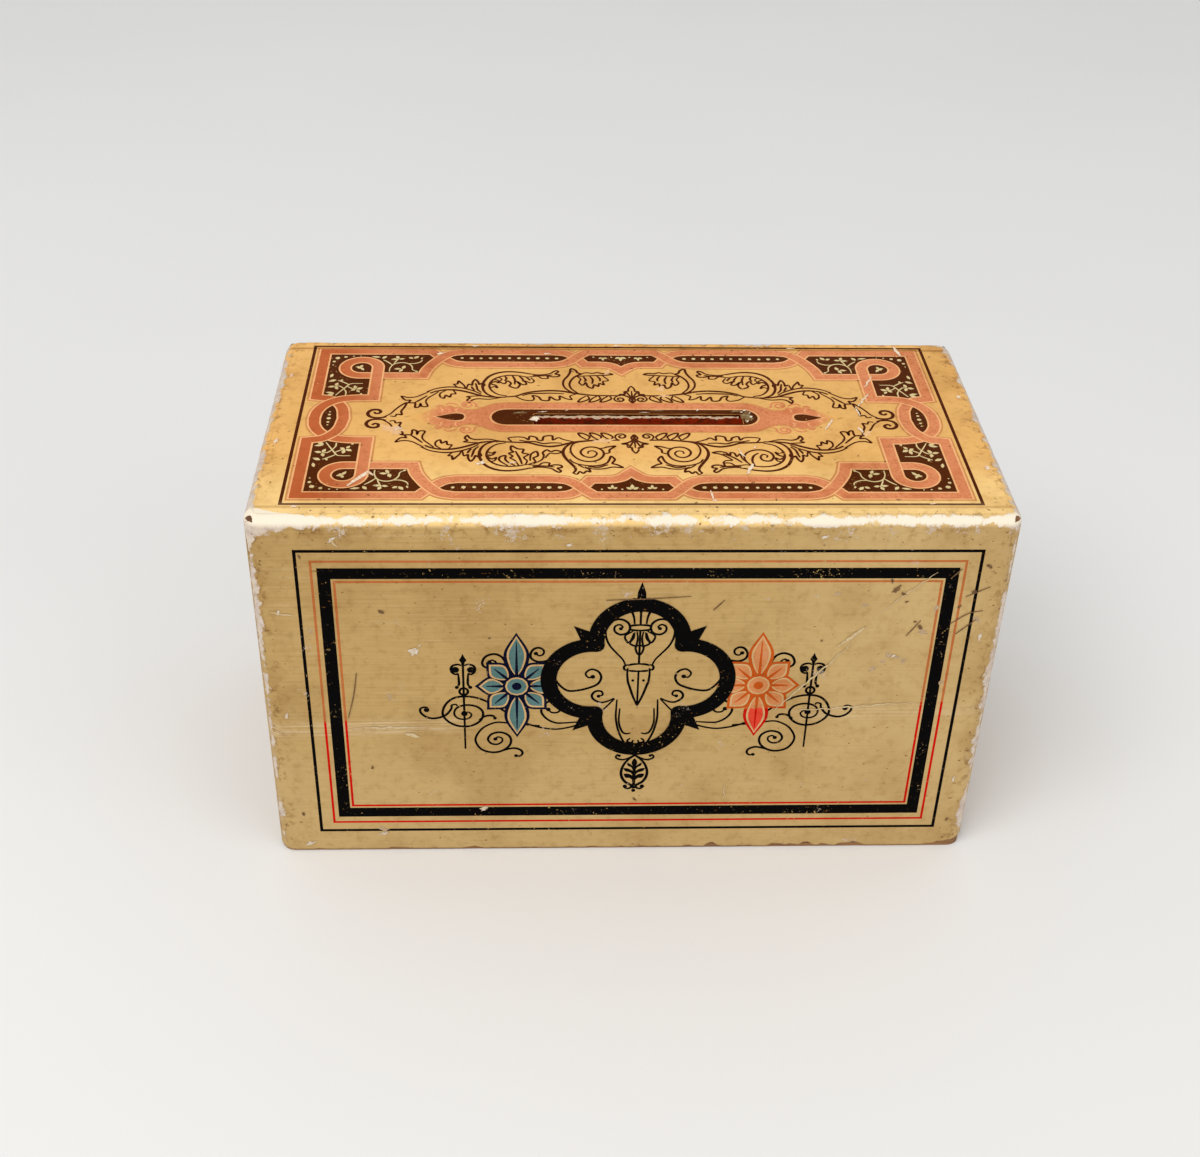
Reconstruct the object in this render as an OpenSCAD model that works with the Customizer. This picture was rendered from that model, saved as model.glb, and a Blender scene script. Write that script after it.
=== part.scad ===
// Paper-covered wooden offering box with a coin slot in the top and a hinged emptying door in the base.
// Millimetres. X runs along the front, Y from front to back, Z up. The origin is the middle of the
// footprint, on the surface that the box stands on.

/* [Box] */
// Length of the box along the front, over its paper
box_length = 165; // [140:1:200]
// Depth of the box from front to back, over its paper
box_depth = 81.5; // [78:0.5:100]
// Height of the box, over its paper
box_height = 95; // [70:1:130]
// Radius of the upright corners, over the paper
corner_radius = 3.6; // [2:0.1:4.4]
// Radius of the worn top edges, over the paper
edge_radius = 2.2; // [1.2:0.1:2.6]

/* [Boards] */
// Thickness of the front and back boards
face_board = 4.8; // [4.6:0.1:6]
// Thickness of the end boards
end_board = 4.8; // [4:0.1:6]
// Thickness of the top board
lid_board = 4.8; // [4:0.1:7]
// Thickness of the base board
floor_board = 4.8; // [4.6:0.1:7]
// Height of the base board's underside above the surface the box stands on
base_recess = 4.2; // [4:0.1:7]

/* [Paper] */
// Thickness of the printed paper
paper = 0.3; // [0.2:0.05:0.5]
// Height of the paper's cut lower edge above the surface the box stands on
paper_hem = 0.5; // [0.2:0.1:2]

/* [Coin slot] */
// Length of the coin slot
slot_length = 48; // [36:1:60]
// Width of the coin slot
slot_width = 4.4; // [4.3:0.1:7]
// Place of the slot's middle along the front, right of centre
slot_x = 2.4; // [-8:0.1:8]
// Place of the slot's middle behind the centre
slot_y = 1.4; // [-6:0.1:6]

/* [Door] */
// Length of the emptying door
door_length = 80; // [72:1:100]
// Width of the base board's rails in front of the door and behind it
base_rail = 12.8; // [11.6:0.1:16]
// Gap between the door and the base board all round
door_gap = 0.8; // [0.7:0.1:1.2]
// Radius of the shallow scoop that lets a fingertip under the door
scoop_radius = 8; // [5:0.5:9]
// Depth of the finger scoop
scoop_depth = 2.4; // [1.2:0.1:3.4]
// Distance of the scoop's middle from the left end of the door
scoop_inset = 16; // [12:1:18]

/* [Door stop] */
// Width of the strip that the closed door bears on
stop_width = 9; // [7:0.5:11]
// Height of the stop strip
stop_height = 3; // [2.4:0.1:5]
// Length that the strip reaches past each end of the doorway
stop_overreach = 8; // [4:1:14]
// Width of the part of the strip that stands over the doorway
stop_lap = 3.5; // [2:0.1:4]
// Gap between the closed door and the strip
stop_gap = 0.3; // [0.2:0.05:0.6]

/* [Hinges] */
// Length of each butt hinge along its pin
hinge_length = 18; // [15:1:22]
// Distance of each hinge from its end of the door
hinge_inset = 8; // [6:0.5:12]
// Width of one hinge leaf from the pin's axis
leaf_width = 8; // [7:0.1:10]
// Thickness of a hinge leaf
leaf_thickness = 0.9; // [0.6:0.05:1.1]
// Diameter of the hinge knuckles
knuckle_diameter = 2.8; // [2.4:0.1:3]
// Diameter of the hinge pins
hinge_pin_diameter = 1.4; // [1:0.1:1.6]
// Gap between the knuckles and what moves past them
knuckle_gap = 0.3; // [0.2:0.05:0.5]

/* [Hinge screws] */
// Diameter of a hinge screw's shank
screw_shank = 1.8; // [1.4:0.1:2.2]
// Diameter of a hinge screw's countersunk head
screw_head = 3.4; // [2.8:0.1:3.8]
// Length of a hinge screw, from the face of its head
screw_length = 4.4; // [3:0.1:4.8]
// Distance of the screws from the pin's axis
screw_reach = 5; // [4.2:0.1:5.8]
// Distance between the two screws of one leaf
screw_spacing = 11; // [8:0.5:13]
// Width of the driver slot in a screw's head
driver_width = 0.5; // [0.3:0.05:0.8]
// Depth of the driver slot in a screw's head
driver_depth = 0.35; // [0.2:0.05:0.5]

/* [Turn button] */
// Radius of the button's round heel, about its screw
button_heel = 4; // [3.2:0.1:5]
// Radius of the button's nose
button_nose = 2.6; // [1.8:0.1:3]
// Length from the screw to the tip of the nose
button_reach = 12; // [9.5:0.5:14]
// Thickness of the button
button_thickness = 1.5; // [1:0.1:1.7]
// Distance of the button's screw from the doorway
button_setback = 6; // [5.4:0.1:7]
// Thickness of the washer between the button and the base
washer_thickness = 0.4; // [0.2:0.05:0.5]
// Diameter of the washer
washer_diameter = 6; // [4:0.1:8]
// Diameter of the button screw's shank
button_shank = 2.2; // [1.6:0.1:2.8]
// Diameter of the button screw's round head
button_head = 4.4; // [3.6:0.1:5.4]
// Height of the button screw's round head
button_head_height = 1.1; // [0.8:0.1:1.3]
// Depth of the button screw in the base board
button_bite = 4; // [2:0.1:4.4]

/* [Board pins] */
// Diameter of the pins that hold the boards together
pin_diameter = 1.2; // [0.8:0.1:1.6]
// Length of a board pin with its head
pin_length = 14; // [10:0.5:15]
// Diameter of a pin's flat head
pin_head = 2.4; // [1.8:0.1:2.8]
// Thickness of a pin's head
pin_head_height = 0.6; // [0.4:0.1:0.9]
// Depth that a pin's head is punched below the wood's face
pin_sink = 0.5; // [0.4:0.05:0.8]
// Length of the short brads in the door stop
brad_length = 6; // [4.5:0.5:6.5]
// Distance of the pins down each corner from the ends of their row
corner_pin_margin = 16; // [8:1:24]
// Distance of the pins along the top from the ends of their row
top_pin_margin = 16; // [8:1:24]
// Distance of the outer pins in the base from the end boards
base_pin_margin = 8; // [5:1:14]
// Distance of the pins through the ends from the front and back boards
end_pin_margin = 16; // [13:1:22]

/* [Fits] */
// Clearance between a fixed pin or screw and its hole, on the radius
fixed_fit = 0.02; // [0.01:0.01:0.05]
// Clearance between a turning piece and what it turns on
running_fit = 0.06; // [0.03:0.01:0.09]

/* [Hidden] */
$fn = 64;

LEFT = -1;
RIGHT = 1;
SIDES = [LEFT, RIGHT];
FRONT = -1;
BACK = 1;
FACES = [FRONT, BACK];
// A hinge leaf reaches from the pin towards the door or towards the base
TO_DOOR = -1;
TO_BASE = 1;

// Length that a cut runs past the face it opens, so that it passes clean through
over = 2;

// Faces of the wood, under the paper
wood_x = box_length / 2 - paper;
wood_y = box_depth / 2 - paper;
wood_top = box_height - paper;

// Faces of the coin chamber
inner_x = wood_x - end_board;
inner_y = wood_y - face_board;
ceiling = wood_top - lid_board;
floor_top = base_recess + floor_board;

// Doorway in the base board, and the hinge axis under the gap behind the door
doorway_x = door_length / 2 + door_gap;
doorway_y = inner_y - base_rail;
door_y = doorway_y - door_gap;
hinge_y = doorway_y - door_gap / 2;
hinge_z = base_recess - knuckle_gap - knuckle_diameter / 2;
// Distance between the middles of the two hinges
hinge_spacing = door_length - 2 * hinge_inset - hinge_length;
// Place of the finger scoop's middle, left of centre
scoop_offset = door_length / 2 - scoop_inset;

// Turn button, hanging under the base board in front of the doorway
button_y = -doorway_y - button_setback;
button_top = base_recess - washer_thickness - running_fit;
button_bottom = button_top - button_thickness;
button_head_top = button_bottom - running_fit;

// Depth of the corner pins' heads, below the round of the corner at the rim of the head
corner_round = corner_radius - paper;
corner_rim = max(0, corner_round - end_board / 2 + pin_head / 2);
corner_pin_sink = pin_sink + corner_round - sqrt(pow(corner_round, 2) - pow(corner_rim, 2));

// Rows of board pins
end_pin_y = inner_y - end_pin_margin;
end_pin_x = wood_x - end_board / 2;
base_pin_outer = inner_x - base_pin_margin;
base_pin_inner = (hinge_spacing / 2 + hinge_length / 2 + doorway_x) / 2;
corner_pin_rows = evenly(floor_top + corner_pin_margin, ceiling - corner_pin_margin, 3);
top_pin_columns = evenly(top_pin_margin - inner_x, inner_x - top_pin_margin, 4);
base_pin_columns = [-base_pin_outer, -base_pin_inner, base_pin_inner, base_pin_outer];
brad_columns = evenly(-doorway_x - stop_overreach / 2, doorway_x + stop_overreach / 2, 3);

wood_colour = "burlywood";
base_wood_colour = "tan";
brass_colour = "darkgoldenrod";
steel_colour = "dimgray";
body_paper_colour = "khaki";
top_paper_colour = "sandybrown";

// Places from one end of a row to the other, the same distance apart
function evenly(first, last, count) = [for (i = [0 : count - 1]) first + i * (last - first) / (count - 1)];

// Block between two corner points
module between(low, high) {
    translate(low) cube(high - low);
}

// Rectangle with round corners
module rounded_plan(length, depth, radius) {
    square([length - 2 * radius, depth], center = true);
    square([length, depth - 2 * radius], center = true);
    for (side = SIDES, face = FACES)
        translate([side * (length / 2 - radius), face * (depth / 2 - radius)]) circle(radius);
}

// Rectangle standing on the axis, with round shoulders
module round_shouldered(width, height, radius) {
    translate([-width / 2, 0]) square([width, height - radius]);
    translate([radius - width / 2, 0]) square([width - 2 * radius, height]);
    for (side = SIDES)
        translate([side * (width / 2 - radius), height - radius]) circle(radius);
}

// The whole box as one block, drawn in from the paper's face by inset
module block(inset) {
    length = box_length - 2 * inset;
    depth = box_depth - 2 * inset;
    height = box_height - inset;
    edge = edge_radius - inset;
    intersection() {
        linear_extrude(height) rounded_plan(length, depth, corner_radius - inset);
        rotate([90, 0, 0])
            linear_extrude(2 * depth, center = true) round_shouldered(length, height, edge);
        rotate([90, 0, 90])
            linear_extrude(2 * length, center = true) round_shouldered(depth, height, edge);
    }
}

// Coin slot, cut from one height to another
module slot_cut(low, high) {
    between([slot_x - slot_length / 2, slot_y - slot_width / 2, low],
            [slot_x + slot_length / 2, slot_y + slot_width / 2, high]);
}

// Board pin along +Z from the face of its head, made larger all round by grow
module pin(length, grow = 0) {
    translate([0, 0, -grow]) {
        cylinder(d = pin_diameter + 2 * grow, h = length + 2 * grow);
        cylinder(d = pin_head + 2 * grow, h = pin_head_height + 2 * grow);
    }
}

// Hole for a board pin, open to the face of the wood that its head is punched below
module pin_hole(length) {
    pin(length, fixed_fit);
    translate([0, 0, -pin_sink - over]) cylinder(d = pin_head + 2 * fixed_fit, h = pin_sink + over);
}

// Places of pins driven through the front and back boards
module through_faces(columns, z, sink = pin_sink) {
    for (face = FACES, x = columns)
        translate([x, face * (wood_y - sink), z]) rotate([face * 90, 0, 0]) children();
}

module at_corner_pins() {
    for (z = corner_pin_rows) through_faces([-end_pin_x, end_pin_x], z, corner_pin_sink) children();
}

module at_top_edge_pins() {
    through_faces(top_pin_columns, wood_top - lid_board / 2) children();
}

module at_top_end_pins() {
    for (side = SIDES, face = FACES)
        translate([side * end_pin_x, face * end_pin_y, wood_top - pin_sink]) rotate([180, 0, 0]) children();
}

module at_base_edge_pins() {
    z = base_recess + floor_board / 2;
    through_faces(base_pin_columns, z) children();
    for (side = SIDES, face = FACES)
        translate([side * (wood_x - pin_sink), face * end_pin_y, z]) rotate([0, -side * 90, 0]) children();
}

module at_door_stop_brads() {
    for (x = brad_columns)
        translate([x, -doorway_y - (stop_width - stop_lap) / 2, floor_top + stop_height - pin_sink])
            rotate([180, 0, 0]) children();
}

// Front or back board, the box's full length and height
module face_panel(face) {
    inside = face * inner_y;
    outside = face * box_depth;
    color(wood_colour) difference() {
        intersection() {
            block(paper);
            between([-box_length, min(inside, outside), -over],
                    [box_length, max(inside, outside), box_height + over]);
        }
        at_corner_pins() pin_hole(pin_length);
        at_top_edge_pins() pin_hole(pin_length);
        at_base_edge_pins() pin_hole(pin_length);
    }
}

module front_board() { face_panel(FRONT); }

module back_board() { face_panel(BACK); }

// End board, held between the front and back boards under the top board
module end_panel(side) {
    inside = side * inner_x;
    outside = side * wood_x;
    color(wood_colour) difference() {
        between([min(inside, outside), -inner_y, 0], [max(inside, outside), inner_y, ceiling]);
        at_corner_pins() pin_hole(pin_length);
        at_top_end_pins() pin_hole(pin_length);
        at_base_edge_pins() pin_hole(pin_length);
    }
}

module left_end_board() { end_panel(LEFT); }

module right_end_board() { end_panel(RIGHT); }

// Top board, let in between the front and back boards, with the coin slot
module top_board() {
    color(wood_colour) difference() {
        intersection() {
            block(paper);
            between([-box_length, -inner_y, ceiling], [box_length, inner_y, box_height + over]);
        }
        slot_cut(ceiling - over, box_height + over);
        at_top_edge_pins() pin_hole(pin_length);
        at_top_end_pins() pin_hole(pin_length);
    }
}

// Places of the two screws in one hinge leaf
module at_leaf_screws(side, reach) {
    for (end = SIDES)
        translate([side * hinge_spacing / 2 + end * screw_spacing / 2, hinge_y + reach * screw_reach,
                   base_recess - leaf_thickness])
            children();
}

// Countersunk screw along +Z from the face of its head, made larger on the radius by grow
module hinge_screw(grow = 0) {
    head_height = (screw_head - screw_shank) / 2;
    cylinder(d = screw_shank + 2 * grow, h = screw_length + grow);
    cylinder(d1 = screw_head + 2 * grow, d2 = screw_shank + 2 * grow, h = head_height);
}

// Driver slot across a screw's head, sunk from z = 0
module driver_cut(head) {
    cube([head + over, driver_width, 2 * driver_depth], center = true);
}

// Base board, let in between the four walls, with the doorway and the finger scoop
module base_board() {
    color(base_wood_colour) difference() {
        between([-inner_x, -inner_y, base_recess], [inner_x, inner_y, floor_top]);
        between([-doorway_x, -doorway_y, base_recess - over], [doorway_x, doorway_y, floor_top + over]);
        translate([-scoop_offset, -doorway_y, base_recess - over])
            cylinder(r = scoop_radius, h = scoop_depth + over);
        at_base_edge_pins() pin_hole(pin_length);
        at_door_stop_brads() pin_hole(brad_length);
        for (side = SIDES)
            at_leaf_screws(side, TO_BASE) hinge_screw(fixed_fit);
        translate([0, button_y, base_recess - over])
            cylinder(d = button_shank + 2 * fixed_fit, h = button_bite + fixed_fit + over);
    }
}

// Strip inside the box that the free edge of the closed door bears on
module door_stop() {
    reach = doorway_x + stop_overreach;
    inner_edge = stop_lap - doorway_y;
    color(base_wood_colour) difference() {
        between([-reach, inner_edge - stop_width, floor_top], [reach, inner_edge, floor_top + stop_height]);
        at_door_stop_brads() pin_hole(brad_length);
    }
}

// Emptying door, flush with the underside of the base board
module base_door() {
    color(base_wood_colour) difference() {
        between([-door_length / 2, -door_y, base_recess], [door_length / 2, door_y, floor_top - stop_gap]);
        for (side = SIDES)
            at_leaf_screws(side, TO_DOOR) hinge_screw(fixed_fit);
    }
}

// Round bar along the hinge axis, between two places measured from the middle of the hinge
module along_pin(side, from, to, diameter) {
    translate([side * hinge_spacing / 2 + from, hinge_y, hinge_z])
        rotate([0, 90, 0]) cylinder(d = diameter, h = to - from);
}

// One leaf of a butt hinge: the base leaf has the outer knuckles and the door leaf the middle one
module hinge_leaf(side, reach) {
    end = hinge_length / 2;
    joint = hinge_length / 6;
    slack = knuckle_gap / 2;
    notch = knuckle_diameter / 2 + knuckle_gap;
    outer_spans = [[-end, -joint - slack], [joint + slack, end]];
    middle_spans = [[slack - joint, joint - slack]];
    middle_notch = [[-joint - slack, joint + slack]];
    outer_notches = [[-end - over, slack - joint], [joint - slack, end + over]];
    color(brass_colour) difference() {
        union() {
            difference() {
                translate([side * hinge_spacing / 2 - end, min(hinge_y, hinge_y + reach * leaf_width),
                           base_recess - leaf_thickness])
                    cube([hinge_length, leaf_width, leaf_thickness]);
                for (span = reach == TO_BASE ? middle_notch : outer_notches)
                    between([side * hinge_spacing / 2 + span[0], hinge_y - notch, hinge_z - notch],
                            [side * hinge_spacing / 2 + span[1], hinge_y + notch, base_recess + over]);
            }
            for (span = reach == TO_BASE ? outer_spans : middle_spans)
                along_pin(side, span[0], span[1], knuckle_diameter);
        }
        along_pin(side, -end - over, end + over, hinge_pin_diameter + 2 * running_fit);
        at_leaf_screws(side, reach) hinge_screw(fixed_fit);
    }
}

module hinge_base_leaf_left() { hinge_leaf(LEFT, TO_BASE); }

module hinge_base_leaf_right() { hinge_leaf(RIGHT, TO_BASE); }

module hinge_door_leaf_left() { hinge_leaf(LEFT, TO_DOOR); }

module hinge_door_leaf_right() { hinge_leaf(RIGHT, TO_DOOR); }

module hinge_pin(side) {
    color(steel_colour) along_pin(side, -hinge_length / 2, hinge_length / 2, hinge_pin_diameter);
}

module hinge_pin_left() { hinge_pin(LEFT); }

module hinge_pin_right() { hinge_pin(RIGHT); }

// The slotted screws of the two leaves on one side of the hinge axis
module leaf_screws(reach) {
    color(brass_colour)
        for (side = SIDES)
            at_leaf_screws(side, reach) difference() {
                hinge_screw();
                driver_cut(screw_head);
            }
}

module hinge_base_screws() { leaf_screws(TO_BASE); }

module hinge_door_screws() { leaf_screws(TO_DOOR); }

// Button that turns under the door's free edge: a round heel with a finger
module turn_button() {
    nose_x = button_reach - button_nose;
    color(brass_colour) translate([0, button_y, button_bottom]) difference() {
        linear_extrude(button_thickness) {
            circle(button_heel);
            translate([0, -button_nose]) square([nose_x, 2 * button_nose]);
            translate([nose_x, 0]) circle(button_nose);
        }
        translate([0, 0, -over])
            cylinder(d = button_shank + 2 * running_fit, h = button_thickness + 2 * over);
    }
}

module turn_button_washer() {
    color(brass_colour) translate([0, button_y, base_recess - washer_thickness]) difference() {
        cylinder(d = washer_diameter, h = washer_thickness);
        translate([0, 0, -over])
            cylinder(d = button_shank + 2 * fixed_fit, h = washer_thickness + 2 * over);
    }
}

// Round-headed screw that the button turns on
module turn_button_screw() {
    crown = button_head_top - button_head_height;
    dome = (pow(button_head / 2, 2) + pow(button_head_height, 2)) / (2 * button_head_height);
    shank_foot = button_head_top - button_head_height / 2;
    color(brass_colour) translate([0, button_y, 0]) difference() {
        union() {
            translate([0, 0, shank_foot])
                cylinder(d = button_shank, h = base_recess + button_bite - shank_foot);
            intersection() {
                translate([0, 0, crown + dome]) sphere(dome);
                translate([0, 0, crown - over]) cylinder(d = button_head + over, h = button_head_height + over);
            }
        }
        translate([0, 0, crown]) driver_cut(button_head);
    }
}

module corner_pins() { color(steel_colour) at_corner_pins() pin(pin_length); }

module top_edge_pins() { color(steel_colour) at_top_edge_pins() pin(pin_length); }

module top_end_pins() { color(steel_colour) at_top_end_pins() pin(pin_length); }

module base_edge_pins() { color(steel_colour) at_base_edge_pins() pin(pin_length); }

module door_stop_brads() { color(steel_colour) at_door_stop_brads() pin(brad_length); }

// Flat of the top between its round edges, from one height to another
module top_flat(low, high) {
    between([edge_radius - box_length / 2, edge_radius - box_depth / 2, low],
            [box_length / 2 - edge_radius, box_depth / 2 - edge_radius, high]);
}

// Sheet round the four walls, drawn over the top edges
module body_paper() {
    color(body_paper_colour) difference() {
        block(0);
        block(paper);
        between([-box_length, -box_depth, -over], [box_length, box_depth, paper_hem]);
        top_flat(wood_top - over, box_height + over);
    }
}

// Sheet on the top, with the slot cut through it
module top_paper() {
    color(top_paper_colour) difference() {
        top_flat(wood_top, box_height);
        slot_cut(wood_top - over, box_height + over);
    }
}

front_board();
back_board();
left_end_board();
right_end_board();
top_board();
base_board();
door_stop();
base_door();
hinge_base_leaf_left();
hinge_base_leaf_right();
hinge_door_leaf_left();
hinge_door_leaf_right();
hinge_pin_left();
hinge_pin_right();
hinge_base_screws();
hinge_door_screws();
turn_button();
turn_button_washer();
turn_button_screw();
corner_pins();
top_edge_pins();
top_end_pins();
base_edge_pins();
door_stop_brads();
body_paper();
top_paper();
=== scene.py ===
import math
import random

import bmesh
import bpy
from mathutils import Matrix, Vector, noise


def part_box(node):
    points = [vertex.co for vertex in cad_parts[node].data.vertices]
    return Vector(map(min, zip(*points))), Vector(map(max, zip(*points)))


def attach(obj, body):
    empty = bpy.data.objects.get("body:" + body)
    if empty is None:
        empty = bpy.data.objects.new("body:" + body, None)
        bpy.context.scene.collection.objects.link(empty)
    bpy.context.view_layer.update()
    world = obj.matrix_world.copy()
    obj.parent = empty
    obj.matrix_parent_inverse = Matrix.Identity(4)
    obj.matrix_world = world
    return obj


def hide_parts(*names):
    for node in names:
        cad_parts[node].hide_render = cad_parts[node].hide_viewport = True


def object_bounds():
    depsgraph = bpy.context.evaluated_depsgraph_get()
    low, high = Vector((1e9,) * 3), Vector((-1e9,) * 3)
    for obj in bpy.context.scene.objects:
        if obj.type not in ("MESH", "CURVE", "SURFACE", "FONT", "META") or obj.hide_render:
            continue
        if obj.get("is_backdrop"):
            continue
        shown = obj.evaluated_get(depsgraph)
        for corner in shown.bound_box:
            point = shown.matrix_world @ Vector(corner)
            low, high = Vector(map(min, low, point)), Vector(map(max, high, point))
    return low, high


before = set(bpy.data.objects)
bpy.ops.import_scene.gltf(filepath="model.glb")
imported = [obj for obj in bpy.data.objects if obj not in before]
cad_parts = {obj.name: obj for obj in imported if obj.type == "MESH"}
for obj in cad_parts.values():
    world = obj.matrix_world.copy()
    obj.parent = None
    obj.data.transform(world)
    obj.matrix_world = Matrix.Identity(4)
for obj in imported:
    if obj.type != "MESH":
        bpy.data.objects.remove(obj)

bl_info = {
    "name": "Paper-covered offering box",
    "version": (1, 0, 0),
    "blender": (4, 5, 0),
    "location": "3D View > Sidebar > Offering box",
    "description": "Printed paper, worn edges, wood and fittings of an offering box, round its CAD frame",
    "category": "Add Mesh",
}

MM = 0.001
CAD_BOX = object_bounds()
# Sizes of the two papers in the frame, in millimetres
HALF_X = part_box("body_paper")[1].x / MM
HALF_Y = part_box("body_paper")[1].y / MM
TOP_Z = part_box("top_paper")[1].z / MM
WOOD_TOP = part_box("top_paper")[0].z / MM
HEM_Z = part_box("body_paper")[0].z / MM
SHEET_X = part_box("top_paper")[1].x / MM
SHEET_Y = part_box("top_paper")[1].y / MM
PAPER = TOP_Z - WOOD_TOP
CASE = "case"
# Radii of the upright corners and of the top edges
CORNER_RADIUS = 3.6
EDGE_RADIUS = HALF_X - SHEET_X
# Coin slot in the CAD top
SLOT_LOW = (-21.6, -0.8)
SLOT_HIGH = (26.4, 3.6)

# Middles of the prints on the faces, in millimetres
TOP_MIDDLE = (-0.4, 1.4)
LINEWORK_MIDDLE = (1.1, 1.4)
CARTOUCHE_MIDDLE = (-0.6, 2.2)
FRONT_MIDDLE = (1.2, 46.8)
SCROLL_MIDDLE = (1.7, 46.8)
# Faces that are printed on: their x, y and outward directions, and a point of each
FACES = {"top": Matrix(((1, 0, 0, 0), (0, 1, 0, 0), (0, 0, 1, TOP_Z), (0, 0, 0, 1))),
         "front": Matrix(((1, 0, 0, 0), (0, 0, -1, -HALF_Y), (0, 1, 0, 0), (0, 0, 0, 1))),
         "back": Matrix(((-1, 0, 0, 0), (0, 0, 1, HALF_Y), (0, 1, 0, 0), (0, 0, 0, 1))),
         "left": Matrix(((0, 0, -1, -HALF_X), (-1, 0, 0, 0), (0, 1, 0, 0), (0, 0, 0, 1))),
         "right": Matrix(((0, 0, 1, HALF_X), (1, 0, 0, 0), (0, 1, 0, 0), (0, 0, 0, 1))),
         "slot": Matrix(((1, 0, 0, 0), (0, 0, -1, SLOT_HIGH[1]), (0, 1, 0, TOP_Z), (0, 0, 0, 1)))}
# Heights of the inks above the paper, in layers
UNDER, PANEL, OUTLINE, BAND, LIFT, MARK = 1, 2, 3, 4, 3, 12
# Small steps in height, in metres, that keep overlapping strokes and shapes of one ink out of one plane
STEP = 0.0000003
STROKE_STEPS = 8
SHAPE_STEPS = 4


def display(red, green, blue):
    """Linear colour of a display colour given from 0 to 255."""
    parts = (red / 255, green / 255, blue / 255)
    return tuple(c / 12.92 if c <= 0.04045 else ((c + 0.055) / 1.055) ** 2.4 for c in parts)


def length(name, description, millimetres):
    """Setting for a length."""
    return bpy.props.FloatProperty(name=name, description=description, default=millimetres * MM, min=0.0,
                                   precision=5, subtype="DISTANCE", unit="LENGTH")


def colour(name, description, *parts):
    """Setting for a display colour."""
    return bpy.props.FloatVectorProperty(name=name, description=description, default=display(*parts),
                                         size=3, min=0.0, max=1.0, subtype="COLOR")


def share(name, description, default):
    """Setting for a share from 0 to 1."""
    return bpy.props.FloatProperty(name=name, description=description, default=default, min=0.0, max=1.0,
                                   subtype="FACTOR")


class OfferingBoxPaper(bpy.types.PropertyGroup):
    """Sizes and colours of the paper and its wear"""
    wall_colour: colour("Wall paper", "Varnished paper on the walls", 192, 158, 100)
    top_colour: colour("Top paper", "Varnished paper on the top", 242, 187, 106)
    core_colour: colour("Paper core", "Paper where the varnish has worn off", 248, 236, 212)
    # Grime, also multiplied in as painted shade along the creases of the top
    grime_and_shade_colour: colour("Grime", "Brown film of dirt rubbed into the print", 190, 166, 122)
    wood_colour: colour("Bare wood", "Wood where the paper has gone", 122, 74, 42)
    edge_wear: length("Edge wear", "Usual width of the worn strip along an edge", 1.45)
    # The front strip is partly worn paper, partly a painted highlight along the front top edge
    front_wear_and_highlight: length("Front edge wear", "Usual width of the worn strip along the front top edge", 1.5)
    hem_tear: length("Hem tear", "Height of the ragged tears in the lower edge", 1.1)
    dent: length("Edge dents", "Depth of the dents along the edges", 0.16)
    streaks: share("Streaks", "Strength of the fine level streaks on the walls", 0.09)


class OfferingBoxInk(bpy.types.PropertyGroup):
    """Colours and thickness of the printing inks"""
    black: colour("Black", "Ink of the frame lines and scrollwork", 8, 7, 7)
    brown: colour("Brown", "Ink of the line work on the top", 82, 32, 2)
    panel: colour("Dark panel", "Ink of the panels on the top", 84, 36, 0)
    salmon: colour("Salmon", "Ink of the strapwork bands", 231, 148, 101)
    deep_salmon: colour("Deep salmon", "Colour that the salmon ink drifts to", 190, 90, 42)
    dusky: colour("Dusky pink", "Soft outer line of the strapwork", 214, 148, 86)
    pale: colour("Pale line", "Light lines beside the bands", 250, 187, 128)
    tracery: colour("Tracery", "Pale leaves and dots on the panels", 228, 206, 150)
    red: colour("Red", "Red ink that the sun hasn't reached", 205, 18, 8)
    faded_red: colour("Faded red", "Red ink that the sun has faded", 192, 112, 62)
    deep_red: colour("Deep red", "Outlines of the red flower", 196, 22, 10)
    faded_deep_red: colour("Faded deep red", "Outlines of the red flower in the sun", 196, 88, 28)
    light_red: colour("Light red", "Petals of the red flower", 226, 72, 52)
    faded_light_red: colour("Faded light red", "Petals of the red flower in the sun", 214, 142, 92)
    blue: colour("Slate blue", "Petals of the blue flower", 92, 128, 128)
    deep_blue: colour("Deep blue", "Outlines of the blue flower", 12, 16, 42)
    thickness: length("Ink thickness", "Thickness of one ink", 0.010)
    layer: length("Ink layer", "Distance from one ink to the next", 0.012)


class OfferingBoxStraps(bpy.types.PropertyGroup):
    """Sizes of the strapwork on the top"""
    band: length("Band", "Width of the coloured band", 2.35)
    pale_line: length("Pale line", "Width of the light line on each side", 0.40)
    outer_line: length("Outer line", "Width of the soft outer line", 0.42)
    border_line: length("Border line", "Width of the line round the top", 0.74)
    ring: length("Ring", "Radius of a corner ring at the middle of its band", 3.95)
    dot: length("Dots", "Diameter of the dots in the long panels", 0.95)


class OfferingBoxLines(bpy.types.PropertyGroup):
    """Sizes of the frame lines and the line work"""
    thin_line: length("Thin line", "Width of the outer black line", 0.72)
    red_line: length("Red line", "Width of the red lines", 0.54)
    thick_line: length("Thick line", "Width of the thick black frame", 2.8)
    scroll_line: length("Scroll line", "Width of the scrollwork on the walls", 0.58)
    leaf_line: length("Leaf line", "Width of the acanthus lines on the top", 0.57)


class OfferingBoxFittings(bpy.types.PropertyGroup):
    """Colours of the wood and the metal"""
    case_wood: colour("Case wood", "Bare wood of the walls and the top", 158, 112, 66)
    base_wood: colour("Base wood", "Bare wood of the base and its door", 148, 102, 58)
    wood_vein: colour("Wood grain", "Dark lines of the grain", 92, 56, 28)
    brass: colour("Brass", "Brass where it is rubbed bright", 190, 150, 82)
    tarnish: colour("Tarnish", "Brown film on the brass", 82, 58, 30)
    steel: colour("Steel", "Drawn steel of the pins", 120, 114, 108)
    rust: colour("Rust", "Rust on the steel", 92, 52, 28)


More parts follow.
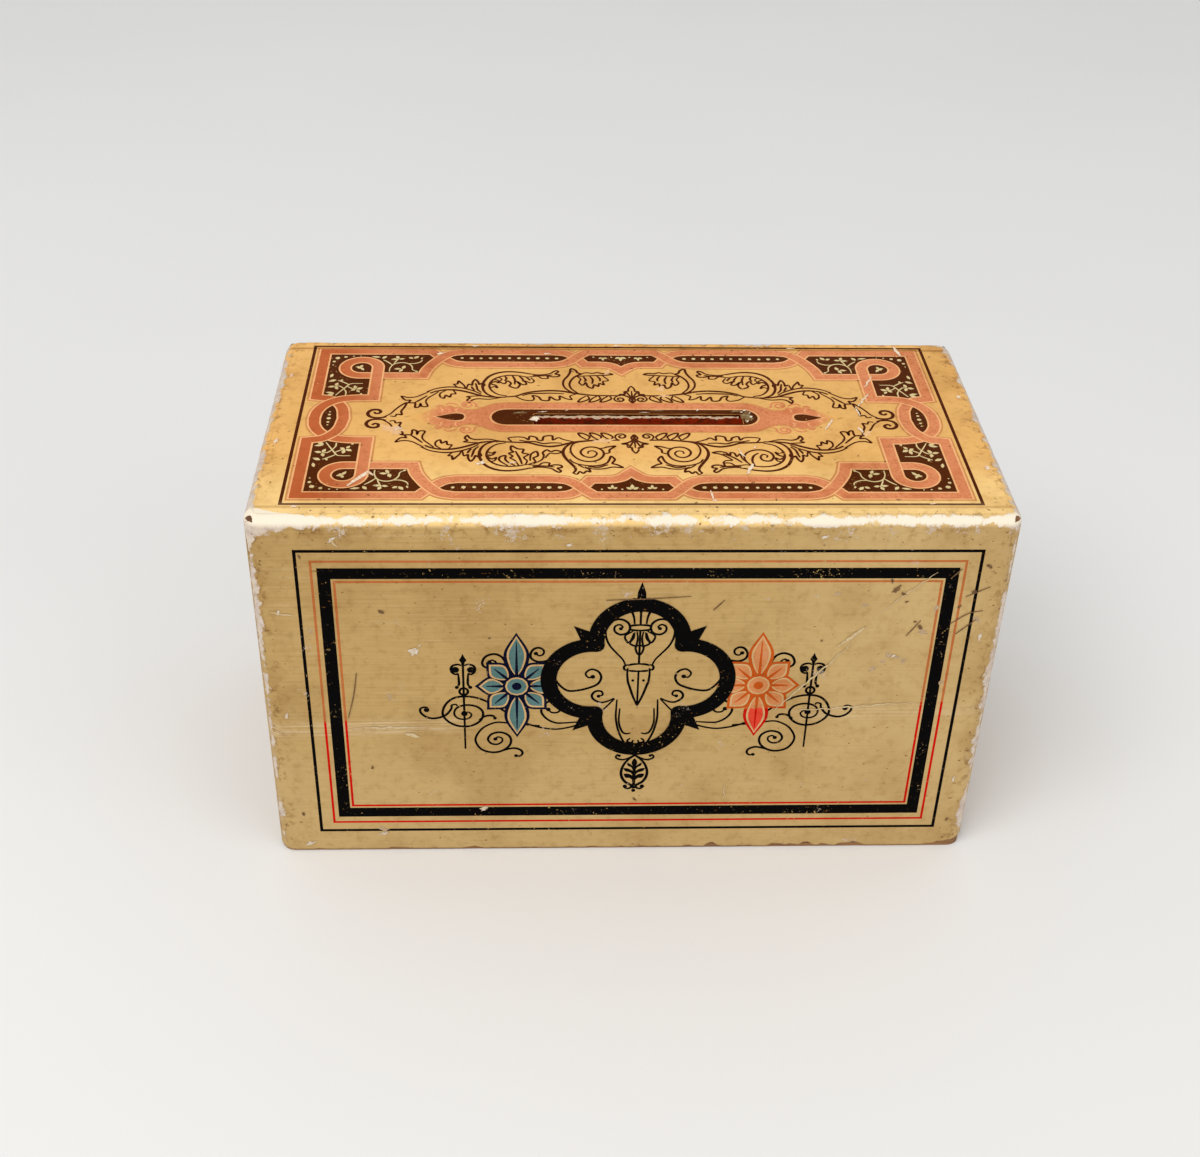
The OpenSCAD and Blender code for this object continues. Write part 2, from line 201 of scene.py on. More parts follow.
class OfferingBoxStage(bpy.types.PropertyGroup):
    """Floor, light and camera"""
    floor_colour: colour("Floor", "Pale floor", 240, 239, 236)
    floor_size: length("Floor size", "Side of the floor", 6000)
    key_power: bpy.props.FloatProperty(
        name="Key light", description="Power of the soft main light", default=5.6, min=0.0, unit="POWER")
    fill_power: bpy.props.FloatProperty(
        name="Fill light", description="Power of the soft side light", default=1.9, min=0.0, unit="POWER")
    ambient: share("Ambient", "Strength of the even light all round", 0.66)
    lens: bpy.props.FloatProperty(name="Lens", description="Focal length of the camera", default=49.83,
                                  min=1.0, unit="CAMERA")


SETTINGS = {
    "offering_box_paper": OfferingBoxPaper,
    "offering_box_ink": OfferingBoxInk,
    "offering_box_straps": OfferingBoxStraps,
    "offering_box_lines": OfferingBoxLines,
    "offering_box_fittings": OfferingBoxFittings,
    "offering_box_stage": OfferingBoxStage,
}


class Wiring:
    """Adds nodes to a tree and joins them."""

    def __init__(self, tree):
        self.tree = tree

    def add(self, kind, *values, **settings):
        node = self.tree.nodes.new(kind)
        for name, value in settings.items():
            setattr(node, name, value)
        for place, value in enumerate(values):
            self.put(node.inputs[place], value)
        return node

    def put(self, socket, value):
        if isinstance(value, bpy.types.NodeSocket):
            self.tree.links.new(value, socket)
        elif value is not None:
            socket.default_value = value

    def calc(self, operation, *values):
        return self.add("ShaderNodeMath", *values, operation=operation).outputs[0]

    def plus(self, first, second):
        return self.calc("ADD", first, second)

    def minus(self, first, second):
        return self.calc("SUBTRACT", first, second)

    def times(self, first, second):
        return self.calc("MULTIPLY", first, second)

    def most(self, first, second):
        return self.calc("MAXIMUM", first, second)

    def least(self, first, second):
        return self.calc("MINIMUM", first, second)

    def size_of(self, value):
        return self.calc("ABSOLUTE", value)

    def scaled(self, vector, factors):
        return self.add("ShaderNodeVectorMath", vector, factors, operation="MULTIPLY").outputs[0]

    def moved(self, vector, offset):
        return self.add("ShaderNodeVectorMath", vector, offset, operation="ADD").outputs[0]

    def ramp(self, value, low, high, first=0.0, last=1.0):
        node = self.add("ShaderNodeMapRange", value, low, high, first, last,
                        interpolation_type="SMOOTHSTEP")
        return node.outputs[0]

    def noise(self, vector, scale, detail=2.0, roughness=0.5):
        node = self.add("ShaderNodeTexNoise", vector)
        self.put(node.inputs["Scale"], scale)
        self.put(node.inputs["Detail"], detail)
        self.put(node.inputs["Roughness"], roughness)
        return node.outputs[0]

    def mix(self, factor, first, second, blend="MIX"):
        node = self.add("ShaderNodeMix", data_type="RGBA", blend_type=blend)
        self.put(node.inputs[0], factor)
        self.put(node.inputs[6], self.tint(first))
        self.put(node.inputs[7], self.tint(second))
        return node.outputs[2]

    @staticmethod
    def tint(value):
        """A plain colour as a colour socket takes it, or a joined socket as it is."""
        return value if isinstance(value, bpy.types.NodeSocket) else (*value, 1.0)

    def place(self):
        """Object coordinates in millimetres."""
        coordinates = self.add("ShaderNodeTexCoord").outputs["Object"]
        return self.scaled(coordinates, (1 / MM,) * 3)


def add_sockets(tree, way, **sockets):
    """Adds named inputs or outputs to a node tree."""
    for name, kind in sockets.items():
        tree.interface.new_socket(name, in_out=way, socket_type="NodeSocket" + kind)


def material_named(name):
    """New material with a principled shader, and its wiring."""
    material = bpy.data.materials.new(name)
    material.use_nodes = True
    material.node_tree.nodes.clear()
    wiring = Wiring(material.node_tree)
    shader = wiring.add("ShaderNodeBsdfPrincipled")
    output = wiring.add("ShaderNodeOutputMaterial")
    wiring.put(output.inputs["Surface"], shader.outputs[0])
    return material, wiring, shader


def bumped(wiring, shader, height, depth, strength=1.0):
    """Joins a bump of the given depth, in metres, to a shader."""
    bump = wiring.add("ShaderNodeBump")
    wiring.put(bump.inputs["Strength"], strength)
    wiring.put(bump.inputs["Distance"], depth)
    wiring.put(bump.inputs["Height"], height)
    wiring.put(shader.inputs["Normal"], bump.outputs[0])


def worn_print_group():
    """Shared wear of paper and ink: sun, streaks, grime, specks, flakes, worn edges and bare corners, with
    painted shade along the creases of the top and on the worn strips, a painted highlight along the front
    top edge and a painted glow on the front.
    """
    if "Worn print" in bpy.data.node_groups:
        return bpy.data.node_groups["Worn print"]
    paper = bpy.context.scene.offering_box_paper
    tree = bpy.data.node_groups.new("Worn print", "ShaderNodeTree")
    add_sockets(tree, "INPUT", Print="Color", Faded="Color", Paper="Float")
    add_sockets(tree, "OUTPUT", Color="Color", Roughness="Float", Height="Float")
    w = Wiring(tree)
    given = w.add("NodeGroupInput")
    result = w.add("NodeGroupOutput")
    place = w.place()
    x, y, z = w.add("ShaderNodeSeparateXYZ", place).outputs
    from_end = w.minus(HALF_X, w.size_of(x))
    from_face = w.minus(HALF_Y, w.size_of(y))
    from_front = w.plus(y, HALF_Y)
    from_top = w.minus(TOP_Z, z)
    top_edges = w.most(from_top, w.least(from_end, from_face))
    edge = w.least(w.most(from_end, from_face), top_edges)
    front_edge = w.most(from_front, from_top)
    on_front = w.ramp(from_front, 2.5, 1.0)
    on_wall = w.ramp(from_top, 0.8, 2.4)
    on_top = w.minus(1.0, on_wall)

    drift = w.noise(place, 0.11, 3.0, 0.6)
    ragged = w.noise(place, 0.42, 5.0, 0.68)
    fine = w.noise(place, 2.1, 3.0, 0.6)
    fibre = w.noise(place, 9.0, 2.0, 0.6)
    broad = w.noise(place, 0.045, 3.0, 0.6)
    streak = w.noise(w.scaled(place, (0.05, 0.05, 1.9)), 1.0, 4.0, 0.6)

    # Sun has faded the front above a slanting line
    line = w.plus(w.times(x, 0.0364), 42.7)
    ragged_line = w.plus(line, w.times(w.minus(fine, 0.5), 2.0))
    sunned = w.times(w.ramp(w.minus(z, ragged_line), -0.4, 0.4), on_front)
    tint = w.mix(sunned, given.outputs["Print"], given.outputs["Faded"])

    # Flakes where ink has come off, and the pale front margin of the top
    loose = w.plus(w.noise(w.moved(place, (13, 3, 21)), 1.5, 3.0, 0.7), w.times(drift, 0.34))
    flake = w.ramp(loose, 0.850, 0.875, 0.0, 0.85)
    tint = w.mix(flake, tint, w.mix(on_wall, paper.top_colour, paper.wall_colour))
    margin = w.times(w.ramp(from_front, 8.4, 3.6, 0.0, 0.85), on_top)
    on_sheet = w.ramp(given.outputs["Paper"], 0.0, 1.0, 0.2, 1.0)
    tint = w.mix(w.times(margin, on_sheet), tint, display(250, 220, 166))
    sheet = w.times(on_top, given.outputs["Paper"])
    tint = w.mix(w.times(sheet, w.ramp(from_front, 28.0, 10.0, 0.0, 0.85)), tint, display(255, 214, 138))

    # Fibres, level streaks, broad stains and grime near the edges
    clean = w.minus(1.0, w.times(margin, 0.5))

    # Multiplies the grime colour in: real grime and stains, and painted shade along the creases
    def darkening(tint, amount):
        return w.mix(w.times(amount, clean), tint, paper.grime_and_shade_colour, "MULTIPLY")

    tint = darkening(tint, w.ramp(fibre, 0.3, 0.7, 0.0, 0.10))
    tint = darkening(tint, w.times(w.ramp(streak, 0.46, 0.72, 0.0, paper.streaks * 2.4), on_wall))
    light = w.times(w.ramp(streak, 0.44, 0.28, 0.0, paper.streaks), on_wall)
    near_line = w.ramp(w.size_of(w.minus(z, w.minus(line, 2.2))), 3.4, 0.4)
    bleached = w.times(w.times(near_line, on_front), w.ramp(streak, 0.58, 0.40, 0.0, 0.30))
    bleached = w.times(bleached, w.ramp(w.size_of(x), 32.0, 44.0))
    light = w.times(w.most(light, bleached), given.outputs["Paper"])
    tint = w.mix(light, tint, paper.core_colour)
    # Painted glow: the front paper lighter towards the right end and lower down
    glow = w.times(w.most(w.ramp(x, 12.0, 58.0), w.ramp(z, 46.0, 18.0, 0.0, 0.7)), on_front)
    glow = w.times(w.times(glow, given.outputs["Paper"]), 0.6)
    tint = w.mix(glow, tint, display(206, 175, 120))
    tint = darkening(tint, w.ramp(broad, 0.44, 0.66, 0.0, 0.26))
    inner = w.ramp(w.size_of(w.minus(from_front, 50.0)), 24.0, 8.0, 0.0, 0.12)
    tint = darkening(tint, w.times(inner, sheet))
    tint = darkening(tint, w.ramp(ragged, 0.46, 0.72, 0.0, 0.30))
    tint = darkening(tint, w.times(w.ramp(edge, 10.0, 1.0, 0.0, 0.34), w.ramp(drift, 0.40, 0.62)))
    tint = darkening(tint, w.times(w.ramp(edge, 6.0, 0.8, 0.0, 0.70), w.ramp(ragged, 0.50, 0.64)))

    # Brown specks
    spots = w.noise(w.scaled(w.moved(place, (31, 7, 3)), (0.62, 0.62, 1.1)), 1.15, 2.0, 0.5)
    spots = w.plus(spots, w.times(broad, 0.12))
    spots = w.plus(spots, w.ramp(edge, 12.0, 1.0, 0.0, 0.04))
    tint = w.mix(w.ramp(spots, 0.755, 0.80, 0.0, 0.75), tint, display(104, 68, 28))

    # Creases over the joints of the top board: a dip in the bump, and painted shade that darkens the colour
    # along them
    crease_dip_and_shade = w.ramp(w.size_of(w.minus(from_face, 4.8)), 0.8, 0.1)
    crease_dip_and_shade = w.times(crease_dip_and_shade, w.ramp(from_top, 0.6, 0.2))
    tint = darkening(tint, w.times(crease_dip_and_shade, 0.8))

    # Worn strips along the edges, wider on the front top edge, and scuffs below it, coloured in painted
    # shade; the front strip is also a painted highlight along the front top edge
    wander = w.plus(w.times(w.minus(ragged, 0.48), 4.6),
                    w.times(w.minus(drift, 0.5), 5.0))
    rough = w.times(w.minus(fine, 0.5), 1.5)
    reach = w.plus(wander, paper.edge_wear / MM)
    past_edge = w.plus(w.minus(reach, edge), rough)
    corner = w.ramp(w.plus(x, HALF_X), 15.0, 2.0, 0.0, 1.6)
    corner = w.plus(corner, w.ramp(from_end, 9.0, 1.0, 0.0, 0.8))
    front_reach = w.plus(w.plus(w.times(wander, 0.85), corner), paper.front_wear_and_highlight / MM)
    past_front = w.plus(w.minus(front_reach, front_edge), rough)
    worn_edge = w.ramp(past_edge, -0.14, 0.14)
    worn_front_and_highlight = w.ramp(past_front, -0.35, 0.35, 0.0, 0.9)
    high_front = w.times(w.ramp(from_top, 9.0, 2.0, 0.0, 0.085), on_front)
    patch = w.plus(w.times(w.noise(w.moved(place, (5, 17, 9)), 0.16, 3.0, 0.6), 0.62),
                   w.times(fine, 0.38))
    scuff = w.times(w.ramp(w.plus(patch, high_front), 0.640, 0.670, 0.0, 0.72), on_wall)
    fringe = w.times(w.ramp(past_edge, -1.3, -0.1), w.ramp(fine, 0.50, 0.60, 0.0, 0.65))
    tint = w.mix(w.times(fringe, w.ramp(ragged, 0.40, 0.60)), tint, display(112, 78, 36))
    # Painted shade: grey copies of the worn paper, as the walls are lit less, with brown patches
    shaded = w.mix(w.ramp(ragged, 0.38, 0.62), display(196, 178, 166), display(216, 200, 182))
    shaded = w.mix(w.ramp(fine, 0.52, 0.72, 0.0, 0.55), shaded, display(178, 140, 100))
    tint = w.mix(w.most(scuff, worn_edge), tint, shaded)
    # Painted light on the front strip: the worn paper core as a painted highlight near the top edge, the
    # painted-shade grey further down
    bright = w.mix(w.ramp(from_top, 1.0, 2.6), paper.core_colour, shaded)
    tint = w.mix(worn_front_and_highlight, tint, bright)
    worn = w.most(w.most(worn_edge, worn_front_and_highlight), scuff)

    # Bare wood at the sharpest corners and in the deepest wear
    front_corner = w.plus(front_edge, w.times(from_end, 0.7))
    front_corner = w.plus(front_corner, w.ramp(x, -20.0, 20.0, 0.0, 0.8))
    bare = w.ramp(w.plus(w.minus(2.0, front_corner), w.times(rough, 1.5)), -0.15, 0.15)
    deep = w.plus(w.minus(w.times(reach, 0.36), w.plus(edge, 0.75)), rough)
    bare = w.most(bare, w.ramp(deep, -0.1, 0.1))
    tint = w.mix(bare, tint, w.mix(fine, paper.wood_colour, display(150, 100, 62)))

    gone = w.most(worn, bare)
    varnish = w.ramp(broad, 0.3, 0.7, 0.40, 0.52)
    roughness = w.plus(w.times(w.minus(1.0, gone), varnish), w.times(gone, 0.86))
    height = w.minus(w.times(fibre, 0.22), w.times(gone, 0.55))
    height = w.minus(height, w.times(w.plus(crease_dip_and_shade, bare), 0.5))
    w.put(result.inputs["Color"], tint)
    w.put(result.inputs["Roughness"], roughness)
    w.put(result.inputs["Height"], height)
    return tree


def printed(name, tint, faded=None, upper=None, second=None, ends=None, paper=0.0):
    """Worn paper or ink.

    faded is its colour in the sun, upper its colour over the top edges, second a colour that it drifts to,
    and ends the distances from the middle between which it fades into the paper of the top. paper is 1 for
    paper and 0 for ink.
    """
    if name in bpy.data.materials:
        return bpy.data.materials[name]
    material, w, shader = material_named(name)
    wear = w.add("ShaderNodeGroup", node_tree=worn_print_group())
    w.put(wear.inputs["Paper"], paper)
    place = w.place()
    x, _, z = w.add("ShaderNodeSeparateXYZ", place).outputs
    for socket, shade in (("Print", tint), ("Faded", faded or tint)):
        if upper:
            shade = w.mix(w.ramp(z, TOP_Z - EDGE_RADIUS, TOP_Z - 0.2), shade, upper)
        if second:
            drift = w.ramp(w.noise(place, 0.1, 4.0, 0.65), 0.44, 0.70, 0.0, 0.5)
            drift = w.most(drift, w.ramp(x, -50.0, -70.0, 0.0, 0.85))
            grain = w.ramp(w.noise(place, 1.4, 3.0, 0.7), 0.45, 0.70, 0.0, 0.6)
            shade = w.mix(w.most(drift, grain), shade, second)
        if ends:
            shade = w.mix(w.ramp(w.size_of(x), *ends), shade,
                          bpy.context.scene.offering_box_paper.top_colour)
        w.put(wear.inputs[socket], w.tint(shade))
    w.put(shader.inputs["Base Color"], wear.outputs["Color"])
    w.put(shader.inputs["Roughness"], wear.outputs["Roughness"])
    w.put(shader.inputs["Specular IOR Level"], 0.015 + 0.1 * paper)
    bumped(w, shader, wear.outputs["Height"], 0.00012, 0.55)
    return material


def scraped(name, tint, second):
    """Bare paper in scratches, chips and torn edges."""
    if name in bpy.data.materials:
        return bpy.data.materials[name]
    material, w, shader = material_named(name)
    place = w.place()
    blot = w.noise(place, 1.3, 3.0, 0.6)
    fibre = w.noise(place, 8.0, 2.0, 0.6)
    w.put(shader.inputs["Base Color"], w.mix(w.ramp(blot, 0.4, 0.68), tint, second))
    w.put(shader.inputs["Roughness"], w.ramp(fibre, 0.2, 0.8, 0.75, 0.95))
    bumped(w, shader, fibre, 0.00008, 0.5)
    return material


def ink(name, faded=None):
    """Material of one of the inks in the settings."""
    inks = bpy.context.scene.offering_box_ink
    other = getattr(inks, faded) if faded else None
    second = inks.deep_salmon if name == "salmon" else None
    return printed(name.capitalize().replace("_", " ") + " ink", getattr(inks, name), other, second=second)


# Flat drawing, in millimetres


def smooth(points, steps=6, closed=False):
    """Points along a soft curve through the given points."""
    count = len(points)
    curve = []
    last = count if closed else count - 1
    for i in range(last):
        if closed:
            before, here, there, after = (points[(i + k) % count] for k in (-1, 0, 1, 2))
        else:
            here, there = points[i], points[i + 1]
            before = points[i - 1] if i else (2 * here[0] - there[0], 2 * here[1] - there[1])
            after = points[i + 2] if i + 2 < count else (2 * there[0] - here[0], 2 * there[1] - here[1])
        for step in range(steps):
            t = step / steps
            weights = (-t * (1 - t) ** 2, 2 - 5 * t * t + 3 * t ** 3, t + 4 * t * t - 3 * t ** 3,
                       t * t * (t - 1))
            weighted = list(zip(weights, (before, here, there, after)))
            curve.append(tuple(sum(weight * p[k] for weight, p in weighted) / 2 for k in (0, 1)))
    if not closed:
        curve.append(tuple(points[-1][:2]))
    return curve


def polar(middle, radius, angle):
    """Point at a distance from a middle, with the angle in radians."""
    return (middle[0] + radius * math.cos(angle), middle[1] + radius * math.sin(angle))


def arc(middle, radius, first, last, count=24):
    """Points of a circular arc, with angles in degrees."""
    angles = [math.radians(first + (last - first) * i / count) for i in range(count + 1)]
    return [polar(middle, radius, a) for a in angles]


def spiral(middle, outer, inner, first, turns, count=18):
    """Points of a spiral from its outer end to its inner end. Positive turns run anticlockwise."""
    steps = max(6, int(abs(turns) * count))
    points = []
    for i in range(steps + 1):
        t = i / steps
        radius = outer * (inner / outer) ** t
        points.append(polar(middle, radius, math.radians(first) + turns * math.tau * t))
    return points


def mirrored(points, fx, fy):
    """The points in the other order, with their axes flipped."""
    return [(x * fx, y * fy) for x, y in reversed(points)]


def stadium(middle, half_length, half_height, count=12):
    """Outline of a bar with round ends."""
    x, y = middle
    reach = half_length - half_height
    right = arc((x + reach, y), half_height, -90, 90, count)
    return right + arc((x - reach, y), half_height, 90, 270, count)


def rectangle(middle, half_x, half_y):
    """Outline of a rectangle."""
    x, y = middle
    return [(x - half_x, y - half_y), (x + half_x, y - half_y), (x + half_x, y + half_y),
            (x - half_x, y + half_y)]


def petal(base, tip, width, belly=0.55, steps=6):
    """Outline of a pointed leaf from base to tip."""
    ax, ay = base
    bx, by = tip
    nx, ny = (ay - by) / 2 * width, (bx - ax) / 2 * width
    span = math.hypot(bx - ax, by - ay)
    nx, ny = nx / span, ny / span
    mid = (ax + (bx - ax) * belly, ay + (by - ay) * belly)
    low = (ax + (bx - ax) * belly * 0.4, ay + (by - ay) * belly * 0.4)
    side = [(low[0] + nx * 0.7, low[1] + ny * 0.7), (mid[0] + nx, mid[1] + ny)]
    other = [(mid[0] - nx, mid[1] - ny), (low[0] - nx * 0.7, low[1] - ny * 0.7)]
    return smooth([base, *side, tip], steps)[:-1] + smooth([tip, *other, base], steps)[:-1]


def flake(middle, size, stretch, turn, seed, count=40):
    """Ragged outline of a scraped patch."""
    outline = []
    for i in range(count):
        a = math.tau * i / count
        at = Vector((math.cos(a), math.sin(a), seed * 3.7))
        radius = size * max(0.25, 0.8 + 0.55 * noise.noise(at * 1.4) + 0.45 * noise.noise(at * 3.3)
                            + 0.25 * noise.noise(at * 7.1))
        px, py = radius * stretch * math.cos(a), radius * math.sin(a) / stretch
        outline.append((middle[0] + px * math.cos(turn) - py * math.sin(turn),
                        middle[1] + px * math.sin(turn) + py * math.cos(turn)))
    return outline


class Drawing:
    """Strokes, shapes and dots of one ink."""

    def __init__(self):
        self.strokes = []
        self.shapes = []
        self.dots = []

    def stroke(self, points, width, start=1.0, end=1.0, closed=False):
        """Line of the given width. start and end are the shares of it that are left at the ends."""
        self.strokes.append((points, width, start, end, closed))

    def lines(self, width, *paths):
        """Soft lines through the given points, a little thinner at their ends."""
        for path in paths:
            self.stroke(smooth(path), width, 0.7, 0.7)

    def curl(self, points, middle, outer, inner, first, turns, width, start=0.5):
        """Soft stem that runs into a spiral with a round eye."""
        turn = spiral(middle, outer, inner, first, turns)
        stem = smooth([*points, turn[0]], 7)[:-1] if points else []
        self.stroke(stem + turn, width, start, 0.8)
        self.dot(turn[-1], width * 1.75)

    def shape(self, *outlines):
        """Filled outline. Further outlines are holes in it."""
        self.shapes.append(outlines)

    def dot(self, middle, size):
        self.dots.append((middle[0], middle[1], size))

    def spots(self, *spots):
        """Dots given by x, y and diameter."""
        self.dots += spots

    def leaves(self, *leaves):
        """Pointed leaves given by the x and y of base and tip, and a width."""
        for ax, ay, bx, by, width in leaves:
            self.shape(petal((ax, ay), (bx, by), width))

    def flakes(self, *patches):
        """Scraped patches given by x, y, size, stretch, turn and seed."""
        for x, y, size, stretch, turn, seed in patches:
            self.shape(flake((x, y), size, stretch, turn, seed))

    def specks(self, stretch, turn, seed, *specks):
        """Scraped specks given by x, y, size and number, which turns and changes each."""
        for x, y, size, number in specks:
            self.shape(flake((x, y), size, stretch, number * turn, number + seed))

    def changed(self, change):
        """The drawing with the x and y of its points changed by a function."""
        result = Drawing()
        result.strokes = [([(*change(x, y), *height) for x, y, *height in line], *rest)
                          for line, *rest in self.strokes]
        result.shapes = [tuple([change(x, y) for x, y in outline] for outline in outlines)
                         for outlines in self.shapes]
        result.dots = [(*change(x, y), size) for x, y, size in self.dots]
        return result

    def copies(self, *flips):
        """The drawing repeated with its axes flipped, such as (-1, 1) for left to right."""
        result = Drawing()
        for fx, fy in flips:
            result.add(self.changed(lambda x, y: (x * fx, y * fy)))
        return result

    def moved(self, dx, dy):
        """The drawing shifted."""
        return self.changed(lambda x, y: (x + dx, y + dy))

    def add(self, other):
        self.strokes += other.strokes
        self.shapes += other.shapes
        self.dots += other.dots
        return self


BOTH_SIDES = ((1, 1), (-1, 1))
ALL_QUARTERS = ((1, 1), (-1, 1), (-1, -1), (1, -1))


# Geometry Nodes that turn drawings into inks


def ink_tree(name, body):
    """Node tree from a drawing's points to closed thin ink. body makes the flat faces."""
    if name in bpy.data.node_groups:
        return bpy.data.node_groups[name]
    tree = bpy.data.node_groups.new(name, "GeometryNodeTree")
    add_sockets(tree, "INPUT", Drawing="Geometry", Thickness="Float", Ink="Material")
    add_sockets(tree, "OUTPUT", Ink="Geometry")
    tree.interface.items_tree["Thickness"].subtype = "DISTANCE"
    w = Wiring(tree)
    given = w.add("NodeGroupInput")
    flat = body(w, given.outputs["Drawing"])
    rise = w.add("ShaderNodeCombineXYZ", 0.0, 0.0, given.outputs["Thickness"]).outputs[0]
    raised = w.add("GeometryNodeExtrudeMesh", flat)
    w.put(raised.inputs["Offset"], rise)
    w.put(raised.inputs["Individual"], False)
    under = w.add("GeometryNodeFlipFaces", flat).outputs[0]
    both = w.add("GeometryNodeJoinGeometry")
    w.put(both.inputs[0], under)
    w.put(both.inputs[0], raised.outputs["Mesh"])
    closed = w.add("GeometryNodeMergeByDistance", both.outputs[0])
    w.put(closed.inputs["Distance"], 0.000001)
    real = w.add("GeometryNodeRealizeInstances", closed.outputs[0]).outputs[0]
    level = w.add("GeometryNodeSetShadeSmooth", real)
    w.put(level.inputs["Shade Smooth"], False)
    inked = w.add("GeometryNodeSetMaterial", level.outputs[0])
    w.put(inked.inputs["Material"], given.outputs["Ink"])
    result = w.add("NodeGroupOutput")
    w.put(result.inputs[0], inked.outputs[0])
    return tree


def named_values(w, name, kind):
    """Values that the points carry under a name."""
    node = w.add("GeometryNodeInputNamedAttribute", name, data_type=kind)
    return node.outputs[0]


def stroke_faces(w, drawing):
    """Ribbon along each line, as wide as its points say."""
    line = w.add("GeometryNodeMeshToCurve", drawing).outputs[0]
    level = w.add("GeometryNodeSetCurveNormal", line, mode="Z_UP").outputs[0]
    across = w.add("GeometryNodeCurvePrimitiveLine", (-1.0, 0.0, 0.0), (1.0, 0.0, 0.0)).outputs[0]
    ribbon = w.add("GeometryNodeCurveToMesh", level, across)
    w.put(ribbon.inputs["Scale"], named_values(w, "half_width", "FLOAT"))
    return ribbon.outputs[0]


def shape_faces(w, drawing):
    """Filled outlines with their holes."""
    line = w.add("GeometryNodeMeshToCurve", drawing).outputs[0]
    return w.add("GeometryNodeFillCurve", line, named_values(w, "shape", "INT"),
                 mode="TRIANGLES").outputs[0]


def dot_faces(w, drawing):
    """A round dot on each point."""
    disc = w.add("GeometryNodeMeshCircle", 12, 1.0, fill_type="NGON").outputs[0]
    dots = w.add("GeometryNodeInstanceOnPoints", drawing)
    w.put(dots.inputs["Instance"], disc)
    w.put(dots.inputs["Scale"], named_values(w, "half_width", "FLOAT"))
    return w.add("GeometryNodeRealizeInstances", dots.outputs[0]).outputs[0]


def new_object(name, data):
    """New object in the scene."""
    thing = bpy.data.objects.new(name, data)
    bpy.context.scene.collection.objects.link(thing)
    return thing


def half_widths(points, width, start, end, closed):
    """Half the width at each point, tapered at the ends and mitred at the corners."""
    count = len(points)
    values = []
    for i, here in enumerate(points):
        t = i / max(1, count - 1)
        taper = 1.0
        if not closed:
            taper = min(start + (1 - start) * min(1, t / 0.35), end + (1 - end) * min(1, (1 - t) / 0.35))
        before = points[i - 1] if i or closed else None
        after = points[(i + 1) % count] if i + 1 < count or closed else None
        mitre = 1.0
        if before and after:
            ax, ay = here[0] - before[0], here[1] - before[1]
            bx, by = after[0] - here[0], after[1] - here[1]
            spans = math.hypot(ax, ay) * math.hypot(bx, by)
            if spans > 1e-9:
                cosine = max(-0.5, min(1.0, (ax * bx + ay * by) / spans))
                mitre = 1 / math.sqrt((1 + cosine) / 2)
        values.append(width / 2 * taper * mitre)
    return values


def ink_mesh(points, edges, values, kind, body, thickness, material):
    """Runs one ink tree on a host of points and gives its plain mesh."""
    host = bpy.data.meshes.new("drawing")
    host.from_pydata(points, edges, [])
    name, number = ("shape", "INT") if kind == "Ink shapes" else ("half_width", "FLOAT")
    host.attributes.new(name, number, "POINT").data.foreach_set("value", values)
    holder = new_object("drawing", host)
    modifier = holder.modifiers.new("Ink", "NODES")
    modifier.node_group = ink_tree(kind, body)
    sockets = modifier.node_group.interface.items_tree
    inputs = {socket.name: socket.identifier for socket in sockets if socket.in_out == "INPUT"}
    modifier[inputs["Thickness"]] = thickness
    modifier[inputs["Ink"]] = material
    drawn = holder.evaluated_get(bpy.context.evaluated_depsgraph_get())
    mesh = bpy.data.meshes.new_from_object(drawn)
    bpy.data.objects.remove(holder)
    bpy.data.meshes.remove(host)
    return mesh


def ink_meshes(drawing, thickness, layer, material):
    """Plain meshes of a drawing's strokes, shapes and dots, in metres."""
    points, edges, values = [], [], []
    for number, (line, width, start, end, closed) in enumerate(drawing.strokes):
        first = len(points)
        step = number % STROKE_STEPS * STEP
        points += [(p[0] * MM, p[1] * MM, (p[2] if len(p) > 2 else 0) * layer + step) for p in line]
        edges += [(first + i, first + i + 1) for i in range(len(line) - 1)]
        if closed:
            edges.append((first + len(line) - 1, first))
        values += [v * MM for v in half_widths(line, width, start, end, closed)]
    if points:
        yield ink_mesh(points, edges, values, "Ink strokes", stroke_faces, thickness, material)
    for group in range(SHAPE_STEPS):
        points, edges, values = [], [], []
        for number, outlines in enumerate(drawing.shapes[group::SHAPE_STEPS]):
            for outline in outlines:
                first = len(points)
                points += [(p[0] * MM, p[1] * MM, 0.0) for p in outline]
                edges += [(first + i, first + (i + 1) % len(outline)) for i in range(len(outline))]
                values += [number] * len(outline)
        if points:
            filled = ink_mesh(points, edges, values, "Ink shapes", shape_faces, thickness, material)
            filled.transform(Matrix.Translation((0, 0, (STROKE_STEPS + group) * STEP)))
            yield filled
    if drawing.dots:
        step = (STROKE_STEPS + SHAPE_STEPS) * STEP
        points = [(x * MM, y * MM, step) for x, y, size in drawing.dots]
        values = [size / 2 * MM for x, y, size in drawing.dots]
        yield ink_mesh(points, [], values, "Ink dots", dot_faces, thickness, material)


def settle(name, mesh, replaced=()):
    """Makes a finished piece of a mesh and lets it ride on the case."""
    piece = new_object(name, mesh)
    mesh.name = name
    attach(piece, CASE)
    if replaced:
        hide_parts(*replaced)
    return piece


